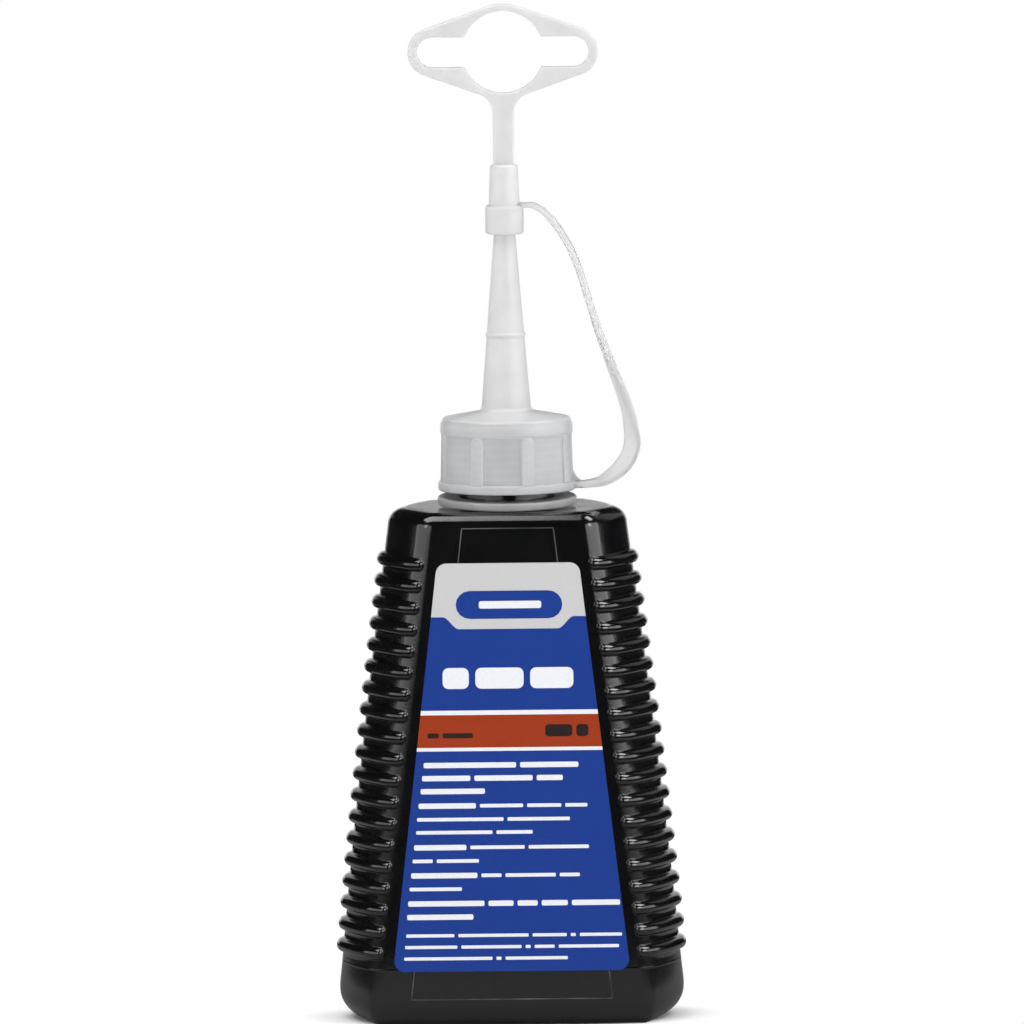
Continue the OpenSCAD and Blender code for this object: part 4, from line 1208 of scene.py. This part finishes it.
# name, direction from the front in degrees, distance, width, low and high edge, radiance
STANDING_LAMPS = [
    ("left_softbox", -61.0, 0.50, 1.26, 0.045, 0.31, 1.25),
    ("left_low_glow", -61.0, 0.50, 1.26, 0.003, 0.045, 0.25),
    ("right_softbox", 67.0, 0.50, 1.035, 0.045, 0.31, 1.9),
    ("right_low_glow", 67.0, 0.50, 1.035, 0.003, 0.045, 0.35),
    ("left_bulb", -44.0, 0.44, 0.13, 0.14, 0.27, 3.2),
    ("right_bulb", 49.0, 0.44, 0.14, 0.14, 0.28, 5.0),
    ("right_rear_glow", 140.0, 0.50, 0.20, 0.20, 0.50, 0.25),
    ("right_rear_card", 162.0, 0.30, 0.14, 0.003, 0.16, 0.8),
    ("left_rear_card", -162.0, 0.30, 0.14, 0.003, 0.16, 0.6),
]


def plain_light(tree, kind, colour, strength, place):
    """Output of an Emission or Background node of one colour."""
    node = add(tree, kind, place)
    node.inputs["Color"].default_value = (*colour, 1)
    node.inputs["Strength"].default_value = strength
    return node.outputs[0]


def mix_shaders(tree, share, first, second, place):
    node = add(tree, "ShaderNodeMixShader", place)
    for value, socket in zip((share, first, second), node.inputs):
        tree.links.new(value, socket)
    return node.outputs[0]


def seen_rays(tree, rays):
    """Mask of the rays that the camera sends, also through see-through plastic."""
    return math_node(tree, "MAXIMUM", rays.outputs["Is Camera Ray"], rays.outputs["Is Transmission Ray"],
                     (-400, 400))


def make_floor():
    """Pale floor. It shows as white to the camera away from the object and keeps the shadow near it."""
    mesh = bpy.data.meshes.new("floor")
    reach = FLOOR_REACH
    mesh.from_pydata([(-reach, -reach, 0), (reach, -reach, 0), (reach, reach, 0), (-reach, reach, 0)],
                     [], [(0, 1, 2, 3)])
    floor = place_object("floor", mesh)
    floor.location = (0, 0, -FLOOR_DROP)
    material = bpy.data.materials.new("floor_paper")
    tree, leave = empty_tree(material, "ShaderNodeOutputMaterial", (900, 0))
    paper = add(tree, "ShaderNodeBsdfDiffuse", (200, 100))
    paper.inputs["Color"].default_value = (0.86, 0.86, 0.86, 1)
    white = plain_light(tree, "ShaderNodeEmission", (1, 1, 1), 1.0, (200, -100))
    dark = plain_light(tree, "ShaderNodeEmission", (0.03, 0.03, 0.032), 1.0, (200, -300))
    place = add(tree, "ShaderNodeTexCoord", (-900, 0))
    rays = add(tree, "ShaderNodeLightPath", (-700, 400))
    # white where seen away from the foot, at a distance measured as if the foot were round
    round_foot = add(tree, "ShaderNodeVectorMath", (-800, 0), operation="MULTIPLY")
    round_foot.inputs[1].default_value = (1.0, FOOT_WIDTH / BODY_DEPTH, 1.0)
    tree.links.new(place.outputs["Object"], round_foot.inputs[0])
    distance = add(tree, "ShaderNodeVectorMath", (-700, 0), operation="LENGTH")
    tree.links.new(round_foot.outputs["Vector"], distance.inputs[0])
    far = mask(tree, distance.outputs["Value"], SHADOW_START, SHADOW_END, (-400, 100))
    whitened = math_node(tree, "MULTIPLY", seen_rays(tree, rays), far, (-100, 250))
    bright = mix_shaders(tree, whitened, paper.outputs[0], white, (450, 100))
    # dim where mirrored, most of all off the sheet
    split = add(tree, "ShaderNodeSeparateXYZ", (-700, -250))
    tree.links.new(place.outputs["Object"], split.inputs["Vector"])
    sheet_y = math_node(tree, "SUBTRACT", split.outputs["Y"], SHEET_MIDDLE, (-620, -200))
    ahead = math_node(tree, "ABSOLUTE", sheet_y, None, (-520, -200))
    aside = math_node(tree, "ABSOLUTE", split.outputs["X"], None, (-550, -450))
    off_sheet = math_node(tree, "MAXIMUM", mask(tree, ahead, *SHEET_DEPTH, (-400, -200)),
                          mask(tree, aside, *SHEET_SIDE, (-400, -450)), (-250, -300))
    off_sheet = math_node(tree, "MAXIMUM", off_sheet, SHEET_SHADE, (-180, -300))
    reflected = math_node(tree, "SUBTRACT", rays.outputs["Is Glossy Ray"],
                          rays.outputs["Is Transmission Ray"], (-250, -50), clamp=True)
    dimmed = math_node(tree, "MULTIPLY", reflected, off_sheet, (-100, -100))
    tree.links.new(mix_shaders(tree, dimmed, bright, dark, (680, 0)), leave.inputs["Surface"])
    mesh.materials.append(material)


def soft_lamp(name, place, aim, width, height, radiance):
    """A softbox whose face has the given radiance, aimed at a point. Lengths in metres."""
    lamp = bpy.data.lights.new(name, "AREA")
    lamp.shape, lamp.size, lamp.size_y = "RECTANGLE", width, height
    lamp.energy = radiance * math.pi * width * height
    holder = place_object(name, lamp)
    holder.location = place
    holder.rotation_euler = (Vector(aim) - Vector(place)).to_track_quat("-Z", "Y").to_euler()
    holder.visible_camera = holder.visible_transmission = False
    return holder


def standing_lamp(name, side, away, width, low, high, radiance):
    """An upright softbox that faces the object's axis. `side` is positive to the right."""
    middle = (low + high) / 2
    place = (away * sin_d(side), -away * cos_d(side), middle)
    soft_lamp(name, place, (0.0, 0.0, middle), width, high - low, radiance)


def make_surroundings():
    """Even fill light, with a white backdrop behind the object for the rays that meet it."""
    world = bpy.data.worlds.new("studio")
    bpy.context.scene.world = world
    tree, leave = empty_tree(world, "ShaderNodeOutputWorld", (800, 0))
    fill = plain_light(tree, "ShaderNodeBackground", (1, 1, 1), FILL_LIGHT, (200, 200))
    backdrop = plain_light(tree, "ShaderNodeBackground", (1, 1, 1), 1.0, (200, 0))
    gloom = plain_light(tree, "ShaderNodeBackground", (0.5, 0.5, 0.52), 0.02, (200, -200))
    rays = add(tree, "ShaderNodeLightPath", (-700, 300))
    place = add(tree, "ShaderNodeTexCoord", (-900, -100))
    split = add(tree, "ShaderNodeSeparateXYZ", (-700, -100))
    tree.links.new(place.outputs["Generated"], split.inputs["Vector"])
    behind = mask(tree, split.outputs["Y"], *BACKDROP_SIDES, (-450, -100))
    below = mask(tree, split.outputs["Z"], *BACKDROP_TOP, (-450, -350))
    sheet = math_node(tree, "MULTIPLY", behind, below, (-200, -200))
    mirrored = mix_shaders(tree, sheet, gloom, backdrop, (450, -100))
    lit = mix_shaders(tree, rays.outputs["Is Glossy Ray"], fill, mirrored, (600, 100))
    final = mix_shaders(tree, seen_rays(tree, rays), lit, backdrop, (700, 0))
    tree.links.new(final, leave.inputs["Surface"])


def make_camera():
    """Long lens at the photograph's height. Its square frame is as wide as the photograph."""
    camera = bpy.data.cameras.new("camera")
    camera.lens, camera.sensor_width, camera.sensor_fit = CAMERA_LENS, CAMERA_SENSOR, "AUTO"
    camera.clip_start, camera.clip_end = 0.1, 20.0
    holder = place_object("camera", camera)
    middle = Vector(CAMERA_AIM) * MM
    away = FRAME_PIXELS * MM_PER_PIXEL * MM * CAMERA_LENS / CAMERA_SENSOR
    back = Vector((0, -cos_d(CAMERA_RISE), sin_d(CAMERA_RISE)))
    holder.location = middle + back * away
    look = (-back).to_track_quat("-Z", "Y")
    holder.rotation_mode = "QUATERNION"
    holder.rotation_quaternion = look @ Quaternion((0, 0, 1), math.radians(-CAMERA_ROLL))
    bpy.context.scene.camera = holder


make_camera()
make_bottle()
make_panel_line()
make_label()
make_label_print()
make_neck_ring()
make_cap()
make_gusset()
make_closure()
make_strap()
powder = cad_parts["graphite_powder"]
powder.data.materials.clear()
powder.data.materials.append(graphite_contents())

make_floor()
make_surroundings()
soft_lamp("top_softbox", (-0.34, -0.25, 0.88), (-0.34, -0.25, 0.0), 0.70, 0.76, 4.0)
soft_lamp("upper_right_softbox", (0.40, -0.05, 0.66), (0.0, 0.0, 0.1), 0.34, 0.34, 6.2)
soft_lamp("back_softbox", (-0.12, 0.66, 0.40), (0.0, 0.0, 0.1), 0.60, 0.44, 1.5).visible_glossy = False
for lamp_values in STANDING_LAMPS:
    standing_lamp(*lamp_values)
bpy.context.scene.view_settings.view_transform = "Standard"
